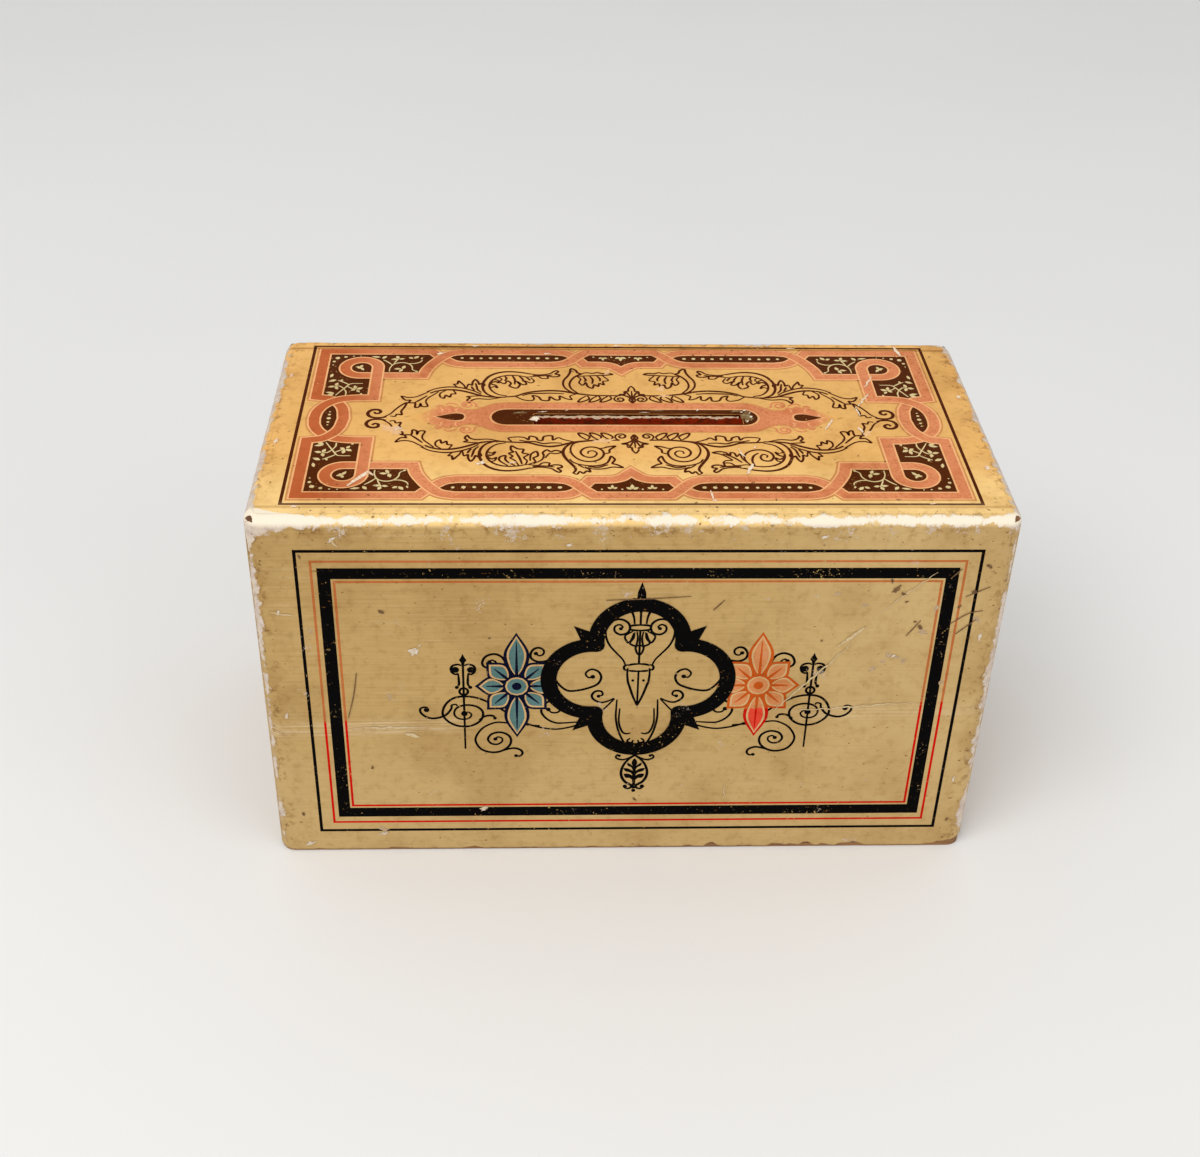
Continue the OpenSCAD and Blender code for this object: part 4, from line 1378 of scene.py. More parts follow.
def front_half(d, line):
    """Inner half of a front quarter: garland, small scroll with a spiral, and running leaves."""
    d.lines(
        line * 1.3,
        [(29.2, 10.4), (26.4, 10.6), (23.8, 10.8), (21.6, 11.8), (19.4, 12.4), (17.4, 12.1), (15.6, 11.3),
         (13.6, 10.5), (11.2, 10), (8.4, 9.6), (5.6, 9.5), (3.4, 9.6)],
        [(14, 10.7), (15.2, 12), (16, 13.6), (16.2, 15.4), (15.7, 17.4), (14.7, 19.4), (13.7, 21.4),
         (13.6, 22.7), (14.2, 23.7)])
    d.lines(
        line,
        [(12.1, 10.2), (13.7, 11.1), (14.4, 12.6), (14.5, 14.4), (13.9, 16.4), (12.7, 18), (11.1, 18.8),
         (9.4, 18.7), (8, 17.7), (7.2, 16), (7.4, 14.2), (8.6, 12.9), (10.3, 12.6), (11.7, 13.4),
         (12.3, 14.9), (11.7, 16.4), (10.4, 17.1), (9.2, 16.6), (8.7, 15.3), (9.4, 14.3), (10.5, 14.5),
         (10.7, 15.5)], [(7.2, 15.6), (5.9, 15), (5.8, 13.8), (4.5, 12.2), (6.3, 12.6), (7, 13), (8, 13.2)],
        [(14.8, 17.8), (14, 19.2), (12.4, 20.2), (10, 20.7), (8, 20.4), (6.6, 19.4), (6, 18), (5.6, 16.6),
         (4.8, 18), (5.4, 19.6), (4.4, 20.2), (3.2, 21.4), (5.4, 21.2), (7.4, 21.9), (9.6, 22),
         (11.6, 21.2)], [(6.4, 20.2), (8.6, 21.3), (10.8, 21)],
        [(14.2, 23.7), (13.3, 24.2), (12.7, 23.1), (11.9, 23.8), (11.2, 22.9), (10.4, 23.2), (10.7, 22),
         (12, 21.2), (13, 20.2)],
        [(27.6, 10.4), (28.4, 8.7), (26.4, 8.2), (24.8, 8.5), (23.9, 9.4), (23.6, 7.9), (22.2, 8.4),
         (21.8, 9.5), (20.8, 9.7), (20.4, 8), (18.6, 7.7), (18.4, 9.5), (17.2, 8.5), (16.2, 9.2),
         (14.8, 9.9), (13.4, 10.4)],
        [(26, 9.6), (24.2, 10.2), (22.4, 10.3), (20.6, 11.1), (18.6, 10.8), (16.4, 10.9)],
        spiral((2.9, 7.9), 1.75, 0.4, 75, -1.5))
    for x in (5.4, 8.0, 10.6):
        d.lines(
            line,
            [(x, 9.5), (x - 0.5, 8.1), (x + 0.7, 6.8), (x + 2.0, 6.5), (x + 1.5, 8.0), (x + 0.2, 9.4)])


def rear_half(d, line):
    """Inner half of a rear quarter: garland, small scroll with hanging leaves, and running leaves."""
    d.lines(
        line * 1.3,
        [(29.2, 10.3), (26.8, 10.8), (25, 12), (22.8, 12.9), (20.4, 13.3), (18, 13.4), (15.4, 13),
         (13.2, 12.2), (10.4, 11.5), (7.4, 11.1), (2.2, 11.1)])
    d.lines(
        line * 1.1,
        [(12.1, 11.8), (13.8, 12.8), (15.1, 14.4), (15.7, 16.4), (15.5, 18.6), (14.6, 20.6), (14, 22.4),
         (13.7, 24.4), (12.6, 23.6), (12.2, 22.4), (11.4, 21.7), (12.2, 21), (13.1, 19.9), (13.9, 18.2),
         (14.2, 16.2), (13.8, 14.4), (12.9, 13), (12.1, 11.8)])
    d.lines(
        line,
        [(11.4, 21.7), (10.2, 22.4), (8.6, 22.1), (7.4, 22.5), (6.2, 22), (4.8, 22.2), (3.8, 21.6),
         (5.4, 21.2), (7.8, 21), (10, 20.8), (12.6, 20.5)],
        [(12.4, 20.6), (11.5, 19.2), (11.9, 17.4), (11, 16.2), (10.3, 17.4), (9.9, 15.6), (8.8, 14.7),
         (8.3, 16.4), (7.4, 15.6), (7.1, 17), (6, 16.4), (6.2, 18), (4.9, 18.6), (6.2, 20.9)],
        [(10.8, 20.4), (10.3, 18.8), (10.6, 17.8)], [(9.2, 20.6), (8.6, 18.8), (8.8, 16.8)],
        [(7.6, 20.8), (6.9, 19.4), (6.9, 18.2)],
        [(27, 10.6), (25.2, 9), (23.2, 8.6), (22.6, 9.6), (23, 11), (21.6, 10.4), (20.8, 8.8), (19.2, 8.7),
         (18.9, 10.4), (17.6, 9), (16.6, 9.2), (16.6, 10.8), (15.2, 9.6), (13.8, 9.2), (14.2, 10.8),
         (12.8, 11.8)], [(25.4, 11), (23.6, 11.9), (21, 12.1), (18.4, 12.2), (15.6, 11.9)],
        spiral((2.5, 9.3), 1.6, 0.4, 75, -1.5))
    for x in (4.9, 7.5, 10.1):
        d.lines(
            line,
            [(x, 11.0), (x - 0.4, 9.6), (x + 0.8, 8.4), (x + 2.2, 8.0), (x + 1.6, 9.5), (x + 0.3, 10.9)])


def spiral_filling(d, line):
    """Spiral and leaf in a large scroll."""
    d.lines(
        line,
        [(25.2, 20.4), (24.3, 18.6), (24.1, 16.6), (25, 14.8), (26.8, 13.8), (28.8, 13.9), (30.3, 15.2),
         (30.6, 17), (29.6, 18.5), (28.1, 18.2), (27.7, 16.8), (28.4, 15.7), (29.3, 16.2), (29, 17.1)],
        [(26, 20.5), (25.7, 18.4), (26.2, 16.4), (27.4, 15.1)],
        [(24.6, 19.4), (23.6, 17.6), (23.2, 15.6), (22.4, 16.6), (22, 15.2), (21.2, 15), (20.9, 16.1),
         (20, 14.9), (18.6, 14.5), (17.2, 15), (18.8, 15.6), (20.2, 16.8), (21.2, 18.2), (19.8, 18.4),
         (19, 19.4)], [(19.4, 15.4), (21.6, 17), (23.4, 19.2)])


def upright_filling(d, line):
    """Leaves that stand up in a large scroll."""
    d.lines(
        line,
        [(24.6, 20.4), (24.2, 18.6), (24.9, 17.2), (23.9, 15.8), (25.2, 15.2), (25, 13.7), (26.3, 13.4),
         (27.7, 12.2), (27.8, 13.8), (27.3, 14.8), (28.2, 15.4), (27.4, 16.6), (27.9, 17.4), (26.9, 18.4),
         (26, 20.6)], [(25.3, 20), (25.8, 17.6), (26.8, 14.4)],
        [(23.8, 20), (22.4, 19), (22.8, 17.4), (21.8, 16.4), (22.1, 14.6), (23.2, 15.5), (23.5, 17),
         (23.5, 18.6)],
        [(22.8, 19.8), (21, 18.2), (20.5, 16.4), (20.7, 15), (19.8, 13.9), (18.9, 14.6), (17.8, 14.1),
         (16.5, 14.8), (17.8, 15.5), (19.2, 15.4), (20.2, 17.4)],
        [(26.8, 20.6), (28.2, 19.4), (29, 18), (29, 16.4), (30.2, 17), (30.3, 18.4), (29.4, 19.6),
         (28.4, 20.6)])


def hanging_filling(d, line):
    """Leaves that hang in a large scroll."""
    d.lines(
        line,
        [(31.2, 20), (30.3, 19), (30.8, 17.8), (29.6, 16.8), (29, 18.2), (28.1, 17), (28.4, 15.6),
         (26.8, 14.6), (26, 16.2), (26.6, 17.8), (25.4, 16.4), (24.4, 16.6), (24.9, 18.2), (23.4, 17.2),
         (22.6, 18.2), (23.4, 19.8)], [(29.6, 20.6), (29.2, 19.4), (29.6, 18.2)],
        [(27.8, 20.8), (27.2, 18.8), (27.2, 16.4)], [(26.2, 20.6), (25.4, 19.2), (25.2, 17.8)],
        [(24.6, 20.2), (23.8, 19), (23.6, 18.4)])


def palmette(line):
    """Palmette on the middle line."""
    half = Drawing()
    half.lines(
        line * 1.1,
        [(0, 7), (0.7, 8.4), (0.5, 9.6), (1.5, 10.6), (2.8, 11.2), (1.7, 11.4), (1.6, 12.6), (0.8, 12.9),
         (0.7, 14), (0, 15.4)])
    half.lines(line * 0.9, [(0.2, 9.8), (0.9, 11.6), (1.2, 12.4)])
    whole = half.copies(*BOTH_SIDES)
    whole.stroke([(0, 7.4), (0, 13.0)], line * 1.3, 1.0, 0.4)
    return whole


class AcanthusLines(bpy.types.Operator):
    """Thin brown acanthus scrolls round the slot"""
    bl_idname = "offering_box.acanthus_lines"
    bl_label = "Acanthus lines"

    def execute(self, context):
        line = context.scene.offering_box_lines.leaf_line / MM
        drawing = Drawing()
        for flip, inner_half, filling in (((1, -1), front_half, spiral_filling),
                                          ((-1, -1), front_half, upright_filling),
                                          ((-1, 1), rear_half, hanging_filling),
                                          ((1, 1), rear_half, hanging_filling)):
            quarter = Drawing()
            acanthus_stem(quarter, line)
            inner_half(quarter, line)
            filling(quarter, line)
            drawing.add(quarter.copies(flip))
        drawing.add(palmette(line).copies((1, -1)))
        drawing.add(palmette(line).moved(0.4, 0.4))
        print_on("top", "acanthus_lines", drawing, LINEWORK_MIDDLE, UNDER, ink("brown"))
        return {"FINISHED"}


# Frame lines and scrollwork on the walls
# Half sizes of the thin black line on the front, and how far in the other lines lie
FRAME_X = 73.35
FRAME_Z = 40.15
THICK_INSET = (5.8, 5.75)
OUTER_RED_INSET = (3.2, 2.65)
INNER_RED_INSET = (7.9, 7.9)


def frame_drawings(lines, half_x, half_y):
    """Thin black line, two red lines and the thick black frame of a wall, from its outermost half size."""
    black, red = Drawing(), Drawing()
    for drawing, width, (inset_x, inset_y) in ((black, lines.thin_line, (0, 0)),
                                               (black, lines.thick_line, THICK_INSET),
                                               (red, lines.red_line, OUTER_RED_INSET),
                                               (red, lines.red_line, INNER_RED_INSET)):
        drawing.stroke(rectangle((0, 0), half_x - inset_x, half_y - inset_y), width / MM, closed=True)
    return black, red


class FrameLines(bpy.types.Operator):
    """Black and red frame lines on the four walls"""
    bl_idname = "offering_box.frame_lines"
    bl_label = "Frame lines"

    def execute(self, context):
        lines = context.scene.offering_box_lines
        end_x = HALF_Y - (HALF_X - FRAME_X)
        plain = (0, FRONT_MIDDLE[1])
        for face, half_x, middle in (("front", FRAME_X, FRONT_MIDDLE), ("back", FRAME_X, plain),
                                     ("left", end_x, plain), ("right", end_x, plain)):
            black, red = frame_drawings(lines, half_x, FRAME_Z)
            print_on(face, face + "_black_frame", black, middle, UNDER, ink("black"))
            print_on(face, face + "_red_lines", red, middle, UNDER, ink("red", "faded_red"))
        return {"FINISHED"}


def middle_column(d, line):
    """Spear, lens, heart volutes, fan, urn, pointed oval and drop: the right half of the middle line."""
    d.shape([(0, 32.1), (0.45, 30.8), (0.9, 29.4), (1, 27.8), (1.95, 27.9), (1.3, 26.9), (0.7, 26),
             (0.45, 24.8), (0.3, 24), (0, 24)])
    d.lines(
        line, [(1.3, 20.9), (1.5, 22.6), (2, 24.2), (2.8, 25.6), (3.6, 25.9), (4.3, 25.4)],
        [(0, 20.6), (1.6, 20.5), (2.3, 20.2)], [(0, 19.1), (1.6, 19.2), (2.3, 19.5)],
        [(2.9, 9.2), (3.6, 11), (5, 12.8), (6.5, 14.8), (7.4, 17), (7.6, 19.2), (6.9, 21), (5.4, 22.1),
         (3.8, 22), (2.6, 21), (2.3, 19.6), (2.9, 18.4), (4.4, 18), (5.6, 18.9), (5.6, 20.2), (4.6, 20.7),
         (3.9, 20.1), (4.3, 19.6)], [(0, 9.8), (1.4, 9.7), (2.4, 9.4)],
        [(2.4, 9.6), (3.2, 9.2), (3.2, 8.3), (2.4, 8)], [(0, 7.7), (1.4, 7.8), (2.2, 7.9)],
        [(2.4, 8.6), (2.5, 7), (2.3, 4.8), (1.9, 3.4), (1.2, 1), (0.4, -1.2), (0, -2.2)])
    d.spots((3.6, 25.0, 1.5), (4.3, 19.6, 0.9), (1.2, 5.1, 0.7))
    d.lines(
        line * 0.9, [(1.6, 18.9), (3.3, 17.6), (2.9, 16.1), (2.4, 15.8), (1.9, 16.6), (1.4, 18.4)],
        [(1.2, 18.6), (1.4, 17), (2.2, 15.6), (1, 14.8), (0.7, 15.2), (0.5, 17), (0.7, 18.8)],
        [(0, 15), (0.6, 14.8), (0.9, 14.2), (0.5, 12.8), (0, 12.2)],
        [(4.6, -0.4), (4.7, -3), (4.7, -6), (4.1, -9.4), (3, -12.4), (1.6, -14.8), (0, -16.8)],
        [(3.9, -3), (4, -7), (3.2, -9.8), (2.2, -10.5), (1.2, -10.3)],
        [(1.2, -11.9), (1.8, -12.4), (1.8, -13), (0.9, -13.2), (0.5, -12.4)], [(0.8, -13), (0.2, -14.4)],
        [(0, -16.9), (1.4, -17.9), (2.6, -18.4), (3.8, -18.2), (4.4, -17.6), (4, -16.9), (3.5, -17.3)])
    d.lines(
        line * 1.2,
        [(0, -17.1), (1.3, -18.2), (2.4, -19.8), (3, -21.8), (2.9, -23.6), (2.1, -25.2), (1.2, -25.9),
         (0.5, -26.5), (0.8, -27.2), (1.6, -27.4), (2.2, -26.9)])
    d.spots((3.6, -17.2, 0.8), (2.0, -26.7, 1.1))
    for blade in ([(0, -18.1), (0.6, -19), (0.55, -20), (0, -20.6)],
                  [(0.15, -21.9), (0.7, -20.8), (1.5, -20.3), (1.7, -19.4), (0.8, -19.9), (0.15, -20.9)],
                  [(0.15, -23.3), (0.9, -22.4), (2, -22), (2.5, -21.1), (1.3, -21.2), (0.15, -22.2)],
                  [(0.15, -24.8), (1, -24.1), (1.9, -24), (2.4, -22.9), (1.3, -22.8), (0.15, -23.6)]):
        d.shape(smooth(blade, 4, closed=True))


def candlestick(d, line):
    """Side candlestick, and the long stem that winds into the spiral on it."""
    stick = Drawing()
    stick.shape([(0, 12.8), (0.35, 11.9), (0.85, 11), (0.45, 10.4), (0.3, 9.8), (0, 9.6)])
    stick.lines(
        line, [(0.3, 9.5), (1.1, 9.8), (2.2, 9.5), (2.7, 8.6), (2.4, 7.5), (1.6, 7), (1.1, 7.4)],
        [(1.1, 7.2), (1, 5.4), (1, 4.2), (1.4, 3.4)])
    stick.spots((1.7, 8.3, 1.7), (1.5, 3.3, 0.95))
    d.add(stick.copies(*BOTH_SIDES).moved(39.1, 0))
    d.stroke([(39.1, 10.0), (39.1, 4.0), (39.1, -4.0), (39.1, -14.8)], line * 0.9, 1.0, 0.8)
    d.stroke(arc((39.1, 2.1), 0.95, 0, 345, 18), line, closed=True)
    d.lines(
        line,
        [(5.2, -0.2), (7.4, -3), (9.3, -5), (13, -7.6), (17, -8.9), (20, -8.9), (24, -7.8), (28, -5.4),
         (30.8, -3), (33, -1.4), (36, 0.2), (39, 0.7), (41.6, 0.1), (43.4, -1.9), (44, -4.4), (43, -6.4),
         (41, -7.8), (38.6, -8.1), (36.6, -7.4), (35.2, -5.9), (34.9, -4), (35.8, -2.6), (37.4, -1.9),
         (39.2, -1.9), (40.8, -2.7), (41.4, -4.2), (40.8, -5.5), (39.4, -6), (38, -5.6), (37.5, -4.6),
         (38.2, -3.9), (39.2, -4.2)],
        [(40.6, -2.1), (41, -1.6), (41.9, -1.9), (42, -2.8), (43, -4.4), (44.4, -5.3), (46.2, -5.7),
         (47.8, -5.2), (48.9, -4), (49, -2.9), (48.2, -2.4), (47.4, -2.6), (47.3, -3.3)],
        [(35.8, -6.2), (34.6, -5.2), (33.4, -4.9), (32.5, -5.1), (32.2, -5.7)])
    d.spots((39.1, -4.3, 1.5), (47.6, -3.2, 1.3), (32.2, -5.7, 0.85))


def branches(d, line):
    """Branches of the long stem, each with a spiral and a round eye."""
    for path, size in (
            ([(30.6, -2.8), (31, -0.6), (31.2, 2), (30.9, 4.4), (30.2, 6.6), (29.6, 8.4), (29.7, 10.4),
              (30.6, 12), (32.2, 12.7), (34, 12), (34.8, 10.4), (34.4, 9.2), (33, 8.7), (31.9, 9.2),
              (31.7, 10.3), (32.6, 11), (33.2, 10.5)], 1.0),
            ([(29.7, 8), (28.6, 9.2), (26.8, 9.6), (25.2, 8.8), (24.8, 7.4), (25.4, 6.1), (26.8, 5.6),
              (28.1, 6.3), (28.3, 7.4), (27.4, 8.2), (26.3, 7.8), (26.3, 7)], 0.9),
            ([(22, -8), (27, -7.6), (31.1, -6.9), (33.2, -7.4), (35.2, -8.8), (36.6, -11.2), (36.6, -13),
              (35.4, -15), (33.2, -15.9), (31, -15.6), (29.2, -14.2), (28.6, -12.4), (29.2, -10.8),
              (31, -9.9), (33, -10.4), (33.9, -11.9), (33.2, -13.2), (31.8, -13.5), (30.7, -12.7),
              (30.7, -11.7), (31.6, -11.3), (32.2, -11.9)], 1.0),
            ([(31.4, -15.8), (29.4, -15), (27.8, -14.7), (26.4, -15.3), (26, -16.3), (26.6, -17.1),
              (27.5, -17)], 0.9),
            ([(16.3, 14.3), (17.6, 13.8), (18.7, 12.6), (19.3, 11.4), (20.6, 10.7), (22.4, 10.5),
              (23.8, 11.3), (24.1, 12.6), (23.4, 14), (22.2, 14.4), (21.2, 13.7), (21.3, 12.6),
              (22.2, 12.2), (22.9, 12.8)], 1.0),
            ([(13, -6.9), (16.4, -7.2), (18.6, -7.1), (20.6, -5.8), (21.7, -3.8), (21.2, -1.8),
              (19.6, -0.8), (17.8, -1.2), (17.1, -2.6), (17.9, -4), (19.3, -4.1), (20.1, -3.2)], 1.1),
            ([(5.2, 0), (6.8, -0.9), (8.4, -1.2), (9.9, -0.3), (10.3, 0.9), (9.5, 2), (8.2, 2), (7.9, 1),
              (8.8, 0.6)], 0.9),
            ([(17.3, 12.6), (18.6, 11.2), (19.2, 8.6), (18.8, 6), (17.4, 3.6), (15.6, 2.2), (13, 2.4),
              (10.6, 3.2), (9, 4.2), (8.3, 6), (9, 7.7), (10.6, 8.3), (11.8, 7.2), (11.2, 6), (10.2, 6.2)],
             1.1)):
        d.lines(line, path)
        d.dot(path[-1], size)


def scrollwork(line):
    """Black scrollwork: the middle column, and a candlestick with winding branches on each side."""
    half = Drawing()
    middle_column(half, line)
    candlestick(half, line)
    branches(half, line)
    whole = half.copies(*BOTH_SIDES)
    whole.stroke([(0, 25.0), (0, 20.6)], line * 0.9)
    whole.stroke([(0, 18.9), (0, 10.0)], line * 0.9)
    whole.stroke([(0, 8.0), (0, -2.0)], line * 0.8)
    whole.shape(rectangle((0, -22.7), 0.4, 2.3))
    whole.stroke([(0, -24.8), (0, -27.4)], 0.75)
    whole.spots((0, -15.4, 0.9), (0, -28.0, 1.0))
    return whole


class Scrollwork(bpy.types.Operator):
    """Thin black scrollwork on the front and the back"""
    bl_idname = "offering_box.scrollwork"
    bl_label = "Scrollwork"

    def execute(self, context):
        line = context.scene.offering_box_lines.scroll_line / MM
        print_on("front", "front_scrollwork", scrollwork(line), SCROLL_MIDDLE, UNDER, ink("black"))
        print_on("back", "back_scrollwork", scrollwork(line), (0, SCROLL_MIDDLE[1]), UNDER, ink("black"))
        return {"FINISHED"}


# Middle ornament on the front: height of the band's middle, its lobes, width and barbs, and a flower's place
BAND_Z = 5.5
LOBE_X = 10.5
LOBE_Z = 11.0
LOBE_RADIUS = 9.6
BAND_WIDTH = 3.6
BARB_ROOT = (8.2, 8.4)
BARB_TIP = (14.6, 14.9)
FLOWER_PLACE = (27.2, 3.6)


class MiddleOrnament(bpy.types.Operator):
    """Black four-lobed band with barbs, between a blue and a red star flower"""
    bl_idname = "offering_box.middle_ornament"
    bl_label = "Middle ornament"

    def execute(self, context):
        x, z = FLOWER_PLACE
        self.flower("blue_flower", (-x, z), ink("deep_blue"), ink("blue"))
        self.flower("red_flower", (x, z), ink("deep_red", "faded_deep_red"),
                    ink("light_red", "faded_light_red"))
        barbs = Drawing()
        for fx, fy in ALL_QUARTERS:
            root, tip = ((fx * px, BAND_Z + fy * pz) for px, pz in (BARB_ROOT, BARB_TIP))
            barbs.shape(petal(root, tip, 4.2, 0.4))
        print_on("front", "band_barbs", barbs, SCROLL_MIDDLE, BAND + 5, ink("black"))
        band = Drawing()
        for heart, first, last in (((LOBE_X, BAND_Z), -96, 96), ((0, BAND_Z + LOBE_Z), -9, 189),
                                   ((-LOBE_X, BAND_Z), 84, 276), ((0, BAND_Z - LOBE_Z), 171, 369)):
            band.stroke(arc(heart, LOBE_RADIUS, first, last, 48), BAND_WIDTH)
        for fx, fy in ALL_QUARTERS:
            band.dot((fx * 9.5, BAND_Z + fy * 9.55), BAND_WIDTH)
        print_on("front", "four_lobed_band", band, SCROLL_MIDDLE, BAND + 6, ink("black"))
        return {"FINISHED"}

    @staticmethod
    def flower(name, heart, deep, light):
        """Star flower: petals with an outline, pale line, lighter middle and vein, and a ringed boss."""
        outer, pale, inner, veins = Drawing(), Drawing(), Drawing(), Drawing()
        for i in range(8):
            a = math.tau * i / 8
            reach = (9.4, 9.6, 15.0, 9.6)[i % 4]
            for drawing, near, far, width in (
                    (outer, 1.0, 0.0, 5.6), (pale, 2.6, 0.9, 4.2), (inner, 3.0, 1.5, 3.3)):
                drawing.shape(petal(polar(heart, near, a), polar(heart, reach - far, a), width, 0.6))
            veins.stroke([polar(heart, r, a) for r in (2.0, 4.0, reach - 2.6)], 0.7, 1.0, 0.3)
        cream = printed("Pale print", display(214, 176, 124))
        layers = [("outline", outer, deep), ("line", pale, cream), ("petals", inner, light),
                  ("veins", veins, deep)]
        for part, size, tint in (
                ("boss", 6.4, deep), ("boss_line", 5.2, cream), ("boss_middle", 4.4, light),
                ("eye", 2.2, deep)):
            disc = Drawing()
            disc.dot(heart, size)
            layers.append((part, disc, tint))
        for number, (part, drawing, tint) in enumerate(layers):
            print_on("front", name + "_" + part, drawing, SCROLL_MIDDLE, PANEL + number, tint)


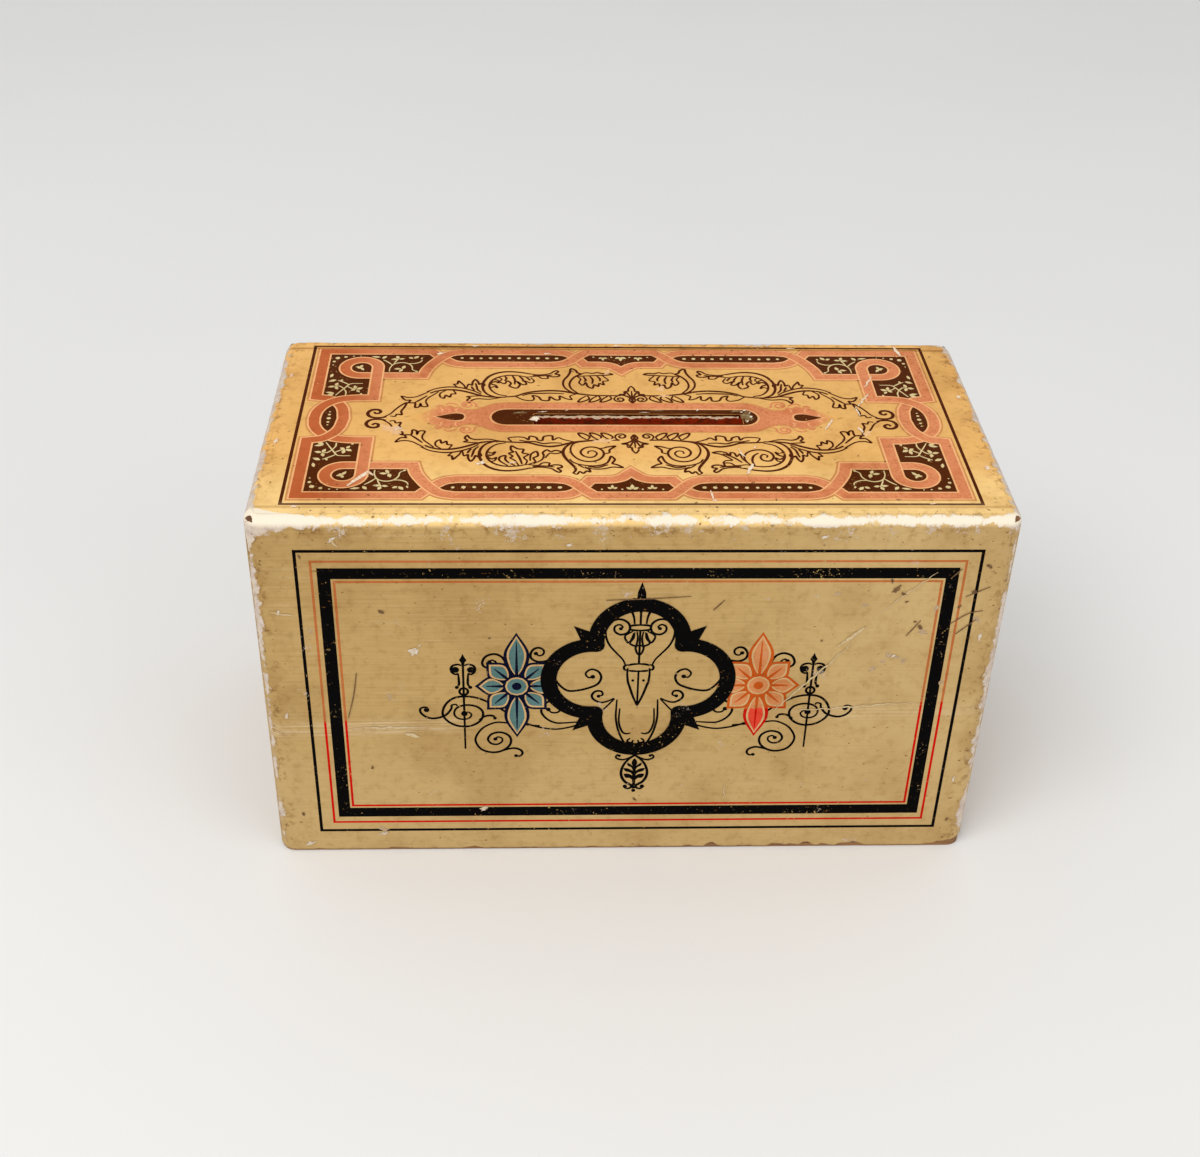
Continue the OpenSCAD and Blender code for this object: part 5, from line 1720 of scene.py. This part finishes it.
class WornMarks(bpy.types.Operator):
    """Scratches and chips where the print has been scraped off"""
    bl_idname = "offering_box.worn_marks"
    bl_label = "Worn marks"

    def execute(self, context):
        self.front_marks()
        self.top_marks()
        return {"FINISHED"}

    @staticmethod
    def front_marks():
        """Chips, scratches, dark nicks and faint blots on the front."""
        bare = scraped("Scraped wall paper", display(214, 202, 184), display(198, 170, 132))
        dull = scraped("Dull scrape", display(206, 184, 142), display(192, 160, 108))
        dark = scraped("Dark scrape", display(96, 66, 34), display(132, 96, 54))
        chips = Drawing()
        chips.flakes((-48, 60.4, 1.2, 1.2, 0.5, 1), (-33.5, 13.4, 0.9, 1.3, 0.2, 2),
                     (-75, 2.6, 0.9, 1.6, 0.3, 3), (-57.5, 5.6, 0.8, 1.7, 0.2, 4),
                     (-64, 90, 0.7, 1.6, 0.8, 5), (-14, 88.6, 0.6, 1.7, 0.1, 7),
                     (40, 90.6, 0.7, 1.5, 0.3, 9), (-77.4, 42, 0.6, 1.5, 1.4, 11),
                     (-76.8, 71, 0.6, 1.5, 1.2, 12), (77.2, 64, 0.7, 1.6, 1.5, 13),
                     (77.4, 22, 0.6, 1.5, 1.4, 14), (-46.8, 62, 0.35, 1.4, 0.7, 15),
                     (58.5, 58.7, 0.5, 1.5, 0.9, 16))
        print_on("front", "front_chips", chips, (0, 0), MARK, bare)
        scratches = Drawing()
        for path, width, seed in (
                ([(32.6, 42.8), (45.8, 58.4), (49, 62.8)], 0.42, 2), ([(45.8, 61.4), (51.6, 66.8)], 0.9, 3),
                ([(54.5, 71), (65.4, 81.6)], 0.3, 4), ([(-63, 38.4), (-46.4, 38.6)], 0.6, 5),
                ([(-51, 36.8), (-47.6, 35.6)], 1.1, 6), ([(38, 43), (66, 45.4)], 0.4, 7),
                ([(-78.4, 71.2), (-73.4, 70)], 0.4, 8), ([(-64.6, 90.4), (-62.8, 88.4)], 0.5, 9),
                ([(23, 20.9), (23.2, 15.6)], 0.26, 10)):
            scratches.stroke(ragged_line(straight(path, 0.7), 0.45, 0.6, seed), width, 0.25, 0.25)
        print_on("front", "front_scratches", scratches, (0, 0), MARK + 1, dull)
        nicks = Drawing()
        nicks.lines(
            0.26, [(-61, 54.4), (-62, 48), (-63.6, 41.4)], [(-6, 74.2), (4, 74.6), (12.4, 75.2)],
            [(17.4, 71.4), (19.8, 74.2)], [(70, 67.6), (73.6, 70.4), (76.8, 71.2)],
            [(71.6, 64.8), (75.6, 68.8)], [(72.4, 75), (77.4, 77.6)], [(68.4, 79.8), (70.6, 82.4)],
            [(60.6, 64.2), (63.4, 68.6)])
        nicks.specks(1.4, 0.9, 20, (57, 77, 0.95, 1), (55.8, 79.2, 0.5, 2), (58.6, 75.8, 0.5, 17),
                     (59.6, 73.6, 0.35, 18), (-54.6, 71.2, 0.65, 3), (-31.4, 64, 0.3, 4),
                     (-59, 26.6, 0.45, 5), (2, 16.2, 0.45, 6), (42, 63, 0.3, 8), (-76, 12, 0.5, 9),
                     (76.4, 83, 0.6, 10), (74, 76.4, 0.5, 11), (77.6, 9, 0.5, 12), (63.5, 66.7, 0.6, 13),
                     (62.2, 68.2, 0.35, 14), (71.4, 72.2, 0.45, 15), (-71, 85.6, 0.5, 16))
        print_on("front", "front_nicks", nicks, (0, 0), MARK + 2, dark)
        blots = Drawing()
        blots.specks(1.3, 0.7, 30, (57.4, 58.9, 0.9, 21), (59.4, 58.2, 0.7, 22), (56.4, 57.2, 0.6, 23),
                     (66.4, 71.8, 0.8, 24), (54.2, 55, 0.9, 28), (61, 57.2, 0.8, 29), (64.2, 65.4, 1.1, 31),
                     (44.2, 75.8, 0.8, 32), (70.4, 51, 0.7, 33), (-70.2, 66, 0.7, 34), (76, 68.6, 0.9, 35),
                     (-54, 47.6, 0.8, 25), (-57.4, 6.8, 1.2, 26), (50.6, 72.6, 0.7, 27))
        print_on("front", "front_blots", blots, (0, 0), UNDER + 0.4,
                 scraped("Faint blot", display(172, 142, 104), display(190, 164, 130)))

    @staticmethod
    def top_marks():
        """Scratches, chips and faint patches on the top."""
        bare = scraped("Scraped top paper", display(244, 226, 198), display(222, 176, 132))
        marks = Drawing()
        for path, width, wander, seed in (
                ([(-61.6, -27.7), (-57.6, -22.1), (-56.3, -23.5)], 1.0, 0.15, 1),
                ([(57.4, 17), (60, 22)], 0.4, 0.4, 2), ([(67.8, 38), (69, 32.6)], 0.8, 0.4, 3),
                ([(24, -12), (25.4, -15.6)], 0.4, 0.4, 4), ([(53.6, 7), (54, 3)], 0.4, 0.5, 5),
                ([(53, -2.4), (53.2, -4.8)], 0.6, 0.5, 7), ([(16.4, -29.4), (16.8, -33.2)], 0.45, 0.3, 6),
                ([(57.6, 13.6), (54.4, 7.6)], 0.5, 0.4, 8), ([(47.6, 1.8), (45, -3.4)], 0.5, 0.5, 9),
                ([(25, -22.6), (27, -18.4)], 0.8, 0.5, 10)):
            marks.stroke(ragged_line(straight(path, 0.5), wander, 0.8, seed), width, 0.4, 0.4)
        marks.flakes((-44.5, 33.2, 0.8, 1.5, 0.3, 41), (-33.4, -18.4, 1, 1.3, 0.8, 42),
                     (-26.4, -18.2, 0.6, 1.6, 0.2, 43), (-18.4, 33.4, 0.6, 1.7, 0.1, 44),
                     (-1, 37.6, 0.7, 1.8, 0, 45), (-36, 37.4, 0.6, 1.8, 0.1, 46),
                     (-79.2, 22, 0.7, 1.5, 1.5, 47), (-79, -9, 0.8, 1.5, 1.4, 48),
                     (78.6, -20, 0.8, 1.4, 1.5, 49), (79, 12, 0.7, 1.6, 1.5, 50),
                     (-52.4, -3.2, 0.9, 1.2, 0.6, 52), (-72, -36, 0.6, 1.6, 0.2, 53),
                     (63.6, -34.8, 0.5, 1.6, 0.1, 54), (28, -11.4, 0.45, 1.5, 0.9, 55),
                     (17, -33.6, 0.45, 1.4, 0.4, 56), (42, 36.6, 0.6, 1.8, 0.1, 57),
                     (68.2, 30.6, 0.4, 1.5, 1, 58))
        print_on("top", "top_chips", marks, (0, 0), MARK, bare)
        faint = Drawing()
        faint.flakes((-53.4, -3.8, 2.6, 1.4, -0.5, 61), (8.4, 15.8, 1.5, 1.2, 1, 62),
                     (9, 12.4, 0.9, 1.6, 0, 63), (-6.4, -8.4, 1.7, 1.6, 0.1, 64),
                     (54.6, -4.6, 1.3, 1.2, 1.2, 65), (-3.8, 24.4, 1, 1.7, 1.2, 66))
        print_on("top", "top_faint_patches", faint, (0, 0), UNDER + 0.4,
                 scraped("Faint patch", display(240, 190, 128), display(226, 176, 132)))


# Wood and metal of the CAD nodes


def board_wood(name, tint, vein, grain, slot=False):
    """Old softwood with its grain along an axis, dark red in the coin slot: partly stained wood, partly
    painted shade of the slot's recess.
    """
    material, w, shader = material_named(name)
    place = w.place()
    stretch = [0.55, 0.55, 0.55]
    stretch["XYZ".index(grain)] = 0.018
    along = w.scaled(place, tuple(stretch))
    rings = w.noise(along, 1.0, 5.0, 0.6)
    pores = w.noise(w.scaled(along, (4.0, 4.0, 4.0)), 1.6, 3.0, 0.6)
    darkening = w.noise(place, 0.05, 3.0, 0.6)
    shade = w.mix(w.ramp(rings, 0.40, 0.62), tint, vein)
    shade = w.mix(w.ramp(pores, 0.55, 0.75, 0.0, 0.45), shade, vein)
    shade = w.mix(w.ramp(darkening, 0.45, 0.70, 0.0, 0.35), shade, display(96, 70, 44))
    if slot:
        x, y = w.add("ShaderNodeSeparateXYZ", place).outputs[:2]
        middle = [(low + high) / 2 for low, high in zip(SLOT_LOW, SLOT_HIGH)]
        half = [(high - low) / 2 for low, high in zip(SLOT_LOW, SLOT_HIGH)]
        past = [w.minus(w.size_of(w.minus(v, m)), h) for v, m, h in zip((x, y), middle, half)]
        # Dark red inside the coin slot: stained wood and painted shade of the recess
        inside = w.ramp(w.most(*past), 0.6, 0.1)
        slot_stain_and_shade = w.mix(w.ramp(rings, 0.3, 0.7), display(176, 48, 4), display(124, 30, 0))
        slot_stain_and_shade = w.mix(w.ramp(w.noise(place, 0.45, 4.0, 0.7), 0.46, 0.62, 0.0, 0.75), slot_stain_and_shade,
                        display(72, 30, 4))
        w.put(shader.inputs["Specular IOR Level"], 0.15)
        shade = w.mix(inside, shade, slot_stain_and_shade)
    w.put(shader.inputs["Base Color"], shade)
    w.put(shader.inputs["Roughness"], w.ramp(pores, 0.3, 0.7, 0.66, 0.86))
    bumped(w, shader, pores, 0.0002, 0.5)
    return material


def old_metal(name, bright, film, low, high):
    """Metal with a dull film, rubbed bright in places."""
    material, w, shader = material_named(name)
    place = w.place()
    blot = w.noise(place, 0.5, 4.0, 0.65)
    fine = w.noise(place, 3.5, 3.0, 0.6)
    w.put(shader.inputs["Base Color"], w.mix(w.ramp(blot, low, high), bright, film))
    w.put(shader.inputs["Roughness"], w.ramp(fine, 0.3, 0.7, 0.34, 0.62))
    w.put(shader.inputs["Metallic"], 1.0)
    bumped(w, shader, fine, 0.00006, 0.5)
    return material


def finish_nodes(names, material):
    """Gives CAD nodes a material."""
    for name in names:
        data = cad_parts[name].data
        data.materials.clear()
        data.materials.append(material)


class WoodBoards(bpy.types.Operator):
    """Bare wood of the boards, the base and its door"""
    bl_idname = "offering_box.wood_boards"
    bl_label = "Wood boards"

    def execute(self, context):
        fittings = context.scene.offering_box_fittings
        vein = fittings.wood_vein
        finish_nodes(("front_board", "back_board"),
                     board_wood("Long board wood", fittings.case_wood, vein, "X"))
        finish_nodes(("top_board",), board_wood("Top board wood", fittings.case_wood, vein, "X", slot=True))
        finish_nodes(("left_end_board", "right_end_board"),
                     board_wood("End board wood", fittings.case_wood, vein, "Y"))
        finish_nodes(("base_board", "door_stop"), board_wood("Base wood", fittings.base_wood, vein, "X"))
        finish_nodes(("base_door",), board_wood("Door wood", fittings.case_wood, vein, "X"))
        return {"FINISHED"}


class MetalFittings(bpy.types.Operator):
    """Tarnished brass of the hinges, button and screws, and dark steel of the pins"""
    bl_idname = "offering_box.metal_fittings"
    bl_label = "Metal fittings"

    def execute(self, context):
        fittings = context.scene.offering_box_fittings
        brass = old_metal("Tarnished brass", fittings.brass, fittings.tarnish, 0.44, 0.66)
        worn = old_metal("Rubbed brass", fittings.brass, fittings.tarnish, 0.52, 0.74)
        steel = old_metal("Dark steel", fittings.steel, fittings.rust, 0.46, 0.66)
        finish_nodes(("hinge_base_leaf_left", "hinge_base_leaf_right", "hinge_door_leaf_left",
                      "hinge_door_leaf_right", "hinge_base_screws", "hinge_door_screws",
                      "turn_button_washer"), brass)
        finish_nodes(("turn_button", "turn_button_screw"), worn)
        finish_nodes(("hinge_pin_left", "hinge_pin_right", "corner_pins", "top_edge_pins", "top_end_pins",
                      "base_edge_pins", "door_stop_brads"), steel)
        return {"FINISHED"}


# Floor's distance below the box, in metres, so that their faces don't share a plane
FLOOR_GAP = 0.00005
# Camera's yaw, pitch and roll in degrees, and its place in metres
CAMERA_TURN = (2.810, 35.117, 1.541)
CAMERA_PLACE = (-0.02175, -0.33163, 0.28467)


class Stage(bpy.types.Operator):
    """Pale floor, soft lights, white surroundings and the camera"""
    bl_idname = "offering_box.stage"
    bl_label = "Stage"

    def execute(self, context):
        scene = context.scene
        stage = scene.offering_box_stage
        self.floor(stage)
        self.lights(stage)
        self.surroundings(scene, stage)
        self.camera(scene, stage)
        scene.view_settings.view_transform = "Standard"
        return {"FINISHED"}

    @staticmethod
    def floor(stage):
        reach = stage.floor_size / 2
        mesh = bpy.data.meshes.new("floor")
        mesh.from_pydata([(-reach, -reach, 0), (reach, -reach, 0), (reach, reach, 0), (-reach, reach, 0)],
                         [], [(0, 1, 2, 3)])
        material, w, shader = material_named("Pale floor")
        cloud = w.noise(w.place(), 0.004, 2.0, 0.5)
        pale = stage.floor_colour
        w.put(shader.inputs["Base Color"],
              w.mix(w.ramp(cloud, 0.3, 0.7, 0.0, 0.12), pale, display(222, 220, 216)))
        w.put(shader.inputs["Roughness"], 0.9)
        w.put(shader.inputs["Specular IOR Level"], 0.2)
        mesh.materials.append(material)
        floor = new_object("floor", mesh)
        floor.location = (0, 0, -FLOOR_GAP)
        floor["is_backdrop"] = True

    @staticmethod
    def lights(stage):
        aim = Vector((0, 0, 0.05))
        for name, place, size, power in (("key_light", (-0.45, -0.55, 0.95), 0.7, stage.key_power),
                                         ("fill_light", (0.75, -0.65, 0.45), 0.8, stage.fill_power)):
            data = bpy.data.lights.new(name, "AREA")
            data.shape = "SQUARE"
            data.size = size
            data.energy = power
            light = new_object(name, data)
            light.location = place
            light.rotation_euler = (aim - Vector(place)).to_track_quat("-Z", "Y").to_euler()

    @staticmethod
    def surroundings(scene, stage):
        world = bpy.data.worlds.new("studio")
        scene.world = world
        world.use_nodes = True
        world.node_tree.nodes.clear()
        w = Wiring(world.node_tree)
        rays = w.add("ShaderNodeLightPath").outputs
        seen = w.most(rays["Is Camera Ray"], rays["Is Glossy Ray"])
        seen = w.most(seen, rays["Is Transmission Ray"])
        even = w.add("ShaderNodeBackground", (0.97, 0.98, 1.0, 1.0), stage.ambient)
        white = w.add("ShaderNodeBackground", (0.93, 0.93, 0.93, 1.0), 1.0)
        both = w.add("ShaderNodeMixShader", seen, even.outputs[0], white.outputs[0])
        w.put(w.add("ShaderNodeOutputWorld").inputs["Surface"], both.outputs[0])

    @staticmethod
    def camera(scene, stage):
        """Camera at the photograph's angle."""
        yaw, pitch, roll = (math.radians(a) for a in CAMERA_TURN)
        level = Matrix(((1, 0, 0), (0, 0, -1), (0, 1, 0)))
        turn = Matrix.Rotation(roll, 3, "Z") @ Matrix.Rotation(pitch, 3, "X")
        turn = turn @ level @ Matrix.Rotation(yaw, 3, "Z")
        right, down, ahead = turn
        data = bpy.data.cameras.new("camera")
        data.sensor_width = 36.0
        data.lens = stage.lens
        data.clip_start = 0.01
        camera = new_object("camera", data)
        basis = Matrix((right, -down, -ahead)).transposed().to_4x4()
        basis.translation = CAMERA_PLACE
        camera.matrix_world = basis
        scene.camera = camera


OPERATORS = (Stage, WallPaper, TopPaper, Strapwork, DarkPanels, SlotCartouche, AcanthusLines, FrameLines,
             Scrollwork, MiddleOrnament, WornMarks, WoodBoards, MetalFittings)


class OfferingBoxPanel(bpy.types.Panel):
    """Lists the pieces and their settings"""
    bl_idname = "VIEW3D_PT_offering_box"
    bl_label = "Offering box"
    bl_space_type = "VIEW_3D"
    bl_region_type = "UI"
    bl_category = "Offering box"

    def draw(self, context):
        for operator in OPERATORS:
            self.layout.operator(operator.bl_idname)
        for name, group in SETTINGS.items():
            box = self.layout.box()
            box.label(text=group.__doc__)
            for value in group.__annotations__:
                box.prop(getattr(context.scene, name), value)


def register():
    for group in SETTINGS.values():
        bpy.utils.register_class(group)
    for name, group in SETTINGS.items():
        setattr(bpy.types.Scene, name, bpy.props.PointerProperty(type=group))
    for operator in OPERATORS:
        bpy.utils.register_class(operator)
    bpy.utils.register_class(OfferingBoxPanel)


def unregister():
    bpy.utils.unregister_class(OfferingBoxPanel)
    for operator in reversed(OPERATORS):
        bpy.utils.unregister_class(operator)
    for name in SETTINGS:
        delattr(bpy.types.Scene, name)
    for group in reversed(SETTINGS.values()):
        bpy.utils.unregister_class(group)


def main():
    register()
    for operator in OPERATORS:
        group, name = operator.bl_idname.split(".")
        getattr(getattr(bpy.ops, group), name)()
    bpy.context.view_layer.update()
    boxes = {"cad": CAD_BOX, "visual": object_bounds()}
    {name: [list(corner) for corner in box] for name, box in boxes.items()}


if __name__ == "__main__":
    main()
